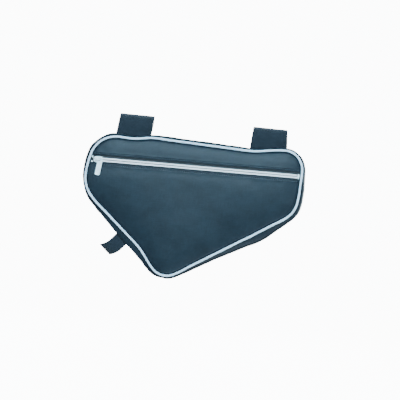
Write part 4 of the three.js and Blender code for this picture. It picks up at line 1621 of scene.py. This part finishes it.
class Finish:
    """One procedural material."""

    def __init__(self, name, **fixed):
        self.material = bpy.data.materials.new(name)
        self.material.use_nodes = True
        self.tree = self.material.node_tree
        self.shader = self.tree.nodes["Principled BSDF"]
        for key, value in fixed.items():
            self.shader.inputs[key.replace("_", " ").title().replace("Ior", "IOR")].default_value = value

    def add(self, kind, settings=None, sockets=None, output=0):
        """Adds a node: its settings, then the values or wires of its sockets. Gives one output as a wire."""
        node = self.tree.nodes.new(kind)
        for key, value in (settings or {}).items():
            setattr(node, key, value)
        for key, value in (sockets or {}).items():
            self.feed(node.inputs[key], value)
        return Wire(self, node.outputs[output])

    def feed(self, socket, value):
        """Links a wire to a socket, or sets the socket's own value."""
        if isinstance(value, Wire):
            self.tree.links.new(value.socket, socket)
        else:
            socket.default_value = value

    def maths(self, operation, *values):
        return self.add("ShaderNodeMath", {"operation": operation}, dict(enumerate(values)))

    def sine(self, wire):
        return self.maths("SINE", wire)

    def ramp(self, wire, low, high):
        """0 below low, 1 above high, and a soft step between."""
        sockets = {"Value": wire, "From Min": low, "From Max": high}
        return self.add("ShaderNodeMapRange", {"interpolation_type": "SMOOTHSTEP"}, sockets)

    def mix(self, share, dark, light, blend="MIX"):
        """A colour between two colours, or with another blend the two worked into one."""
        sockets = {"Factor": share, 6: dark, 7: light}
        return self.add("ShaderNodeMix", {"data_type": "RGBA", "blend_type": blend}, sockets, 2)

    def noise(self, place, size, detail=3.0, rough=0.55):
        """Unevenness between 0 and 1, with lumps of a size in metres."""
        sockets = {"Vector": place, "Scale": 1 / size, "Detail": detail, "Roughness": rough}
        return self.add("ShaderNodeTexNoise", {}, sockets)

    def cloth_place(self):
        """Cloth coordinates: the place as a vector, and its two lengths in metres."""
        place = self.add("ShaderNodeUVMap", {"uv_map": "cloth"})
        return place, self.part(place, 0), self.part(place, 1)

    def bag_place(self):
        """The place on the bag, in metres."""
        return self.add("ShaderNodeTexCoord", output=3)

    def part(self, place, index):
        return self.add("ShaderNodeSeparateXYZ", {}, {0: place}, index)

    def stretch(self, place, *scale):
        """A place scaled differently in its directions, for streaks."""
        return self.add("ShaderNodeVectorMath", {"operation": "MULTIPLY"}, {0: place, 1: scale})

    def stripes(self, wire, pitch):
        """Even soft stripes along a length, between 0 and 1."""
        return self.sine(wire * (2 * math.pi / pitch)) * 0.5 + 0.5

    def relief(self, height, depth):
        """A bump that is depth metres deep for a height from 0 to 1."""
        return self.add("ShaderNodeBump", {}, {"Height": height, "Distance": depth, "Strength": 1.0})

    def wear(self, **fed):
        """Feeds the shader."""
        for key, value in fed.items():
            self.feed(self.shader.inputs[key.replace("_", " ").title()], value)
        return self.material


def weave(finish, along, across, pitch, squareness=0.5):
    """Height of a plain weave: a small dome wherever one thread lies over the other."""
    warp = finish.sine(along * (math.pi / pitch))
    weft = finish.sine(across * (math.pi / pitch))
    crossing = warp * weft
    height = finish.maths("ABSOLUTE", crossing) ** squareness
    return height, crossing


print("finish helpers ready")

# %% [markdown]
# ## The body cloth
# The body is coated polyester of a heavy yarn, which gives a fine texture of small domes and a soft satin
# gleam. Flat blue-black would look like plastic. Its colour shifts a little from thread to thread and over
# broad patches, the yarn has slubs along the weave, the hollows between the domes get painted shade, and
# the gleam is a middling roughness with some sheen.

# %% Body cloth
BODY_PITCH = 0.0008
BODY_DARK = (0.0012, 0.0052, 0.0098, 1)
BODY_LIGHT = (0.0043, 0.0128, 0.0212, 1)
# Painted shade: the weave's hollows are darkened to this grey, and its domes keep their own colour.
WEAVE_HOLLOW_SHADE = (0.55, 0.55, 0.55, 1)
WEAVE_DOME_UNSHADED = (1, 1, 1, 1)


def body_cloth():
    finish = Finish(
        "body_cloth",
        sheen_weight=0.055,
        sheen_roughness=0.45,
        sheen_tint=(0.75, 0.88, 1.0, 1),
        specular_ior_level=0.24,
        specular_tint=(0.80, 0.90, 1.0, 1),
    )
    place, along, across = finish.cloth_place()
    height, crossing = weave(finish, along, across, BODY_PITCH)
    broad = finish.noise(place, 0.034)
    slub = finish.noise(finish.stretch(place, 1.0, 0.12, 1.0), 0.0016, 2.0)
    slub_across = finish.noise(finish.stretch(place, 0.12, 1.0, 1.0), 0.0016, 2.0)
    tone = 0.5 * broad + 0.25 * slub + 0.25 * slub_across + 0.12 * finish.ramp(crossing, -0.4, 0.4) - 0.06
    colour = finish.mix(finish.ramp(tone, 0.25, 0.8), BODY_DARK, BODY_LIGHT)
    # Painted shade in the weave's hollows: the colour is darkened wherever the weave lies low.
    hollow_shade = finish.mix(finish.ramp(height, 0.0, 0.55), WEAVE_HOLLOW_SHADE, WEAVE_DOME_UNSHADED)
    colour = finish.mix(1.0, colour, hollow_shade, "MULTIPLY")
    bump = finish.relief(0.8 * height + 0.25 * slub + 0.25 * slub_across, 0.00008)
    rough = 0.38 + 0.12 * (1 - height) + 0.1 * broad
    return finish.wear(base_color=colour, roughness=rough, normal=bump)


print("body cloth ready")

# %% [markdown]
# ## Piping cloth, strap tape and zip tape
# The piping's cover is cut on the bias, so its twill runs round the cord at a slant. The straps are loop
# tape: a dense pile on a ribbed ground, with plain selvages, and it is the dullest and darkest cloth here.
# The zip's tape is a herringbone, whose slanting ribs turn back at every few threads.

# %% Piping, strap and tape cloths
TWILL = 0.0011
TWILL_THREAD = 0.0006
PILE = 0.0006
RIB = 0.0014
HERRINGBONE = 0.0016
HERRINGBONE_RIB = 0.0007
PIPING_DARK = (0.33, 0.50, 0.66, 1)
PIPING_LIGHT = (0.57, 0.75, 0.93, 1)
PIPING_SOIL = (0.30, 0.40, 0.48, 1)
STRAP_DARK = (0.0032, 0.0063, 0.0100, 1)
STRAP_LIGHT = (0.0103, 0.0166, 0.0252, 1)
TAPE_DARK = (0.0022, 0.0060, 0.0090, 1)
TAPE_LIGHT = (0.0070, 0.0165, 0.0235, 1)


def piping_cloth():
    finish = Finish("piping_cloth", sheen_weight=0.15, sheen_roughness=0.4)
    place, along, across = finish.cloth_place()
    twill = finish.stripes(along + 0.8 * across, TWILL)
    thread = finish.stripes(along - 1.3 * across, TWILL_THREAD)
    broad = finish.noise(place, 0.02, 4.0)
    soil = finish.ramp(finish.noise(place, 0.0045), 0.55, 0.8)
    colour = finish.mix(0.6 * twill + 0.4 * broad, PIPING_DARK, PIPING_LIGHT)
    colour = finish.mix(0.25 * soil, colour, PIPING_SOIL)
    bump = finish.relief(twill + 0.3 * thread, 0.00012)
    return finish.wear(base_color=colour, roughness=0.5 + 0.15 * (1 - twill), normal=bump)


def strap_tape():
    finish = Finish(
        "strap_tape",
        sheen_weight=0.08,
        sheen_roughness=0.6,
        sheen_tint=(0.6, 0.8, 1.0, 1),
        specular_ior_level=0.12,
    )
    place, along, _ = finish.cloth_place()
    pile = finish.noise(place, PILE, 4.0, 0.7)
    rib = finish.stripes(along, RIB)
    tone = 0.5 * pile + 0.2 * rib + 0.4 * finish.noise(place, 0.012)
    colour = finish.mix(finish.ramp(tone, 0.25, 0.9), STRAP_DARK, STRAP_LIGHT)
    bump = finish.relief(0.8 * pile + 0.3 * rib, 0.0003)
    return finish.wear(base_color=colour, roughness=0.78 + 0.12 * pile, normal=bump)


def zip_tape_cloth():
    finish = Finish("zip_tape", sheen_weight=0.1, sheen_roughness=0.5)
    place, along, across = finish.cloth_place()
    turned = finish.maths("PINGPONG", across, HERRINGBONE)
    rib = finish.stripes(along + turned, HERRINGBONE_RIB)
    colour = finish.mix(0.6 * rib + 0.4 * finish.noise(place, 0.006), TAPE_DARK, TAPE_LIGHT)
    return finish.wear(base_color=colour, roughness=0.6 + 0.2 * (1 - rib), normal=finish.relief(rib, 0.00015))


print("piping, strap and tape cloths ready")

# %% [markdown]
# ## Coil, metal and thread
# The coil's filament is pale nylon, a little cloudy. The slider, pull and stops are plated metal, brushed
# along the pull, brighter where fingers and the coil rub it. Thread is a twist of fine fibre, seen as
# slanting dashes.

# %% Coil, metal and thread
COIL_DARK = (0.80, 0.86, 1.0, 1)
COIL_LIGHT = (0.97, 0.98, 1.0, 1)
METAL_DARK = (0.55, 0.72, 0.80, 1)
METAL_LIGHT = (0.78, 0.92, 0.98, 1)
HEM_THREAD_COLOURS = ((0.035, 0.06, 0.08, 1), (0.09, 0.13, 0.16, 1))
COIL_THREAD_COLOURS = ((0.62, 0.68, 0.77, 1), (0.85, 0.90, 0.98, 1))
THREAD_TWIST = 0.00045


def zip_coil_plastic():
    finish = Finish("zip_coil", coat_weight=0.15, coat_roughness=0.3)
    place = finish.bag_place()
    cloud = finish.noise(place, 0.004)
    scuff = finish.ramp(finish.noise(place, 0.0012, 4.0), 0.5, 0.75)
    colour = finish.mix(cloud, COIL_DARK, COIL_LIGHT)
    return finish.wear(base_color=colour, roughness=0.34 + 0.2 * scuff, normal=finish.relief(scuff, 0.00002))


def zip_metal_plate():
    finish = Finish("zip_metal")
    place = finish.bag_place()
    brushed = finish.noise(finish.stretch(place, 1.0, 1.0, 0.08), 0.00035)
    rubbed = finish.ramp(finish.noise(place, 0.006), 0.45, 0.7)
    return finish.wear(
        base_color=finish.mix(0.7 * rubbed + 0.3 * brushed, METAL_DARK, METAL_LIGHT),
        metallic=0.35 + 0.2 * rubbed,
        roughness=0.42 - 0.14 * rubbed + 0.14 * brushed,
        normal=finish.relief(brushed, 0.00002),
    )


def sewing_thread(name, dark, light):
    finish = Finish(name, sheen_weight=0.2, sheen_roughness=0.4)
    place = finish.bag_place()
    twist = finish.stripes(finish.part(place, 0) + 0.7 * finish.part(place, 2), THREAD_TWIST)
    fuzz = finish.noise(place, 0.0008)
    colour = finish.mix(0.6 * twist + 0.4 * fuzz, dark, light)
    return finish.wear(base_color=colour, roughness=0.55 + 0.2 * fuzz, normal=finish.relief(twist, 0.00006))


# Each finish, and the pieces that wear it.
dressed = (
    (body_cloth(), panel_pieces + [gusset_piece]),
    (piping_cloth(), piping_pieces),
    (strap_tape(), strap_pieces),
    (zip_tape_cloth(), [tape_piece]),
    (zip_coil_plastic(), coil_pieces),
    (zip_metal_plate(), stop_pieces + [slider_piece, pull_piece]),
    (sewing_thread("hem_thread", *HEM_THREAD_COLOURS), stitch_pieces),
    (sewing_thread("coil_thread", *COIL_THREAD_COLOURS), thread_pieces),
)
for material, pieces in dressed:
    for piece in pieces:
        piece.data.materials.append(material)
print({material.name: len(pieces) for material, pieces in dressed})
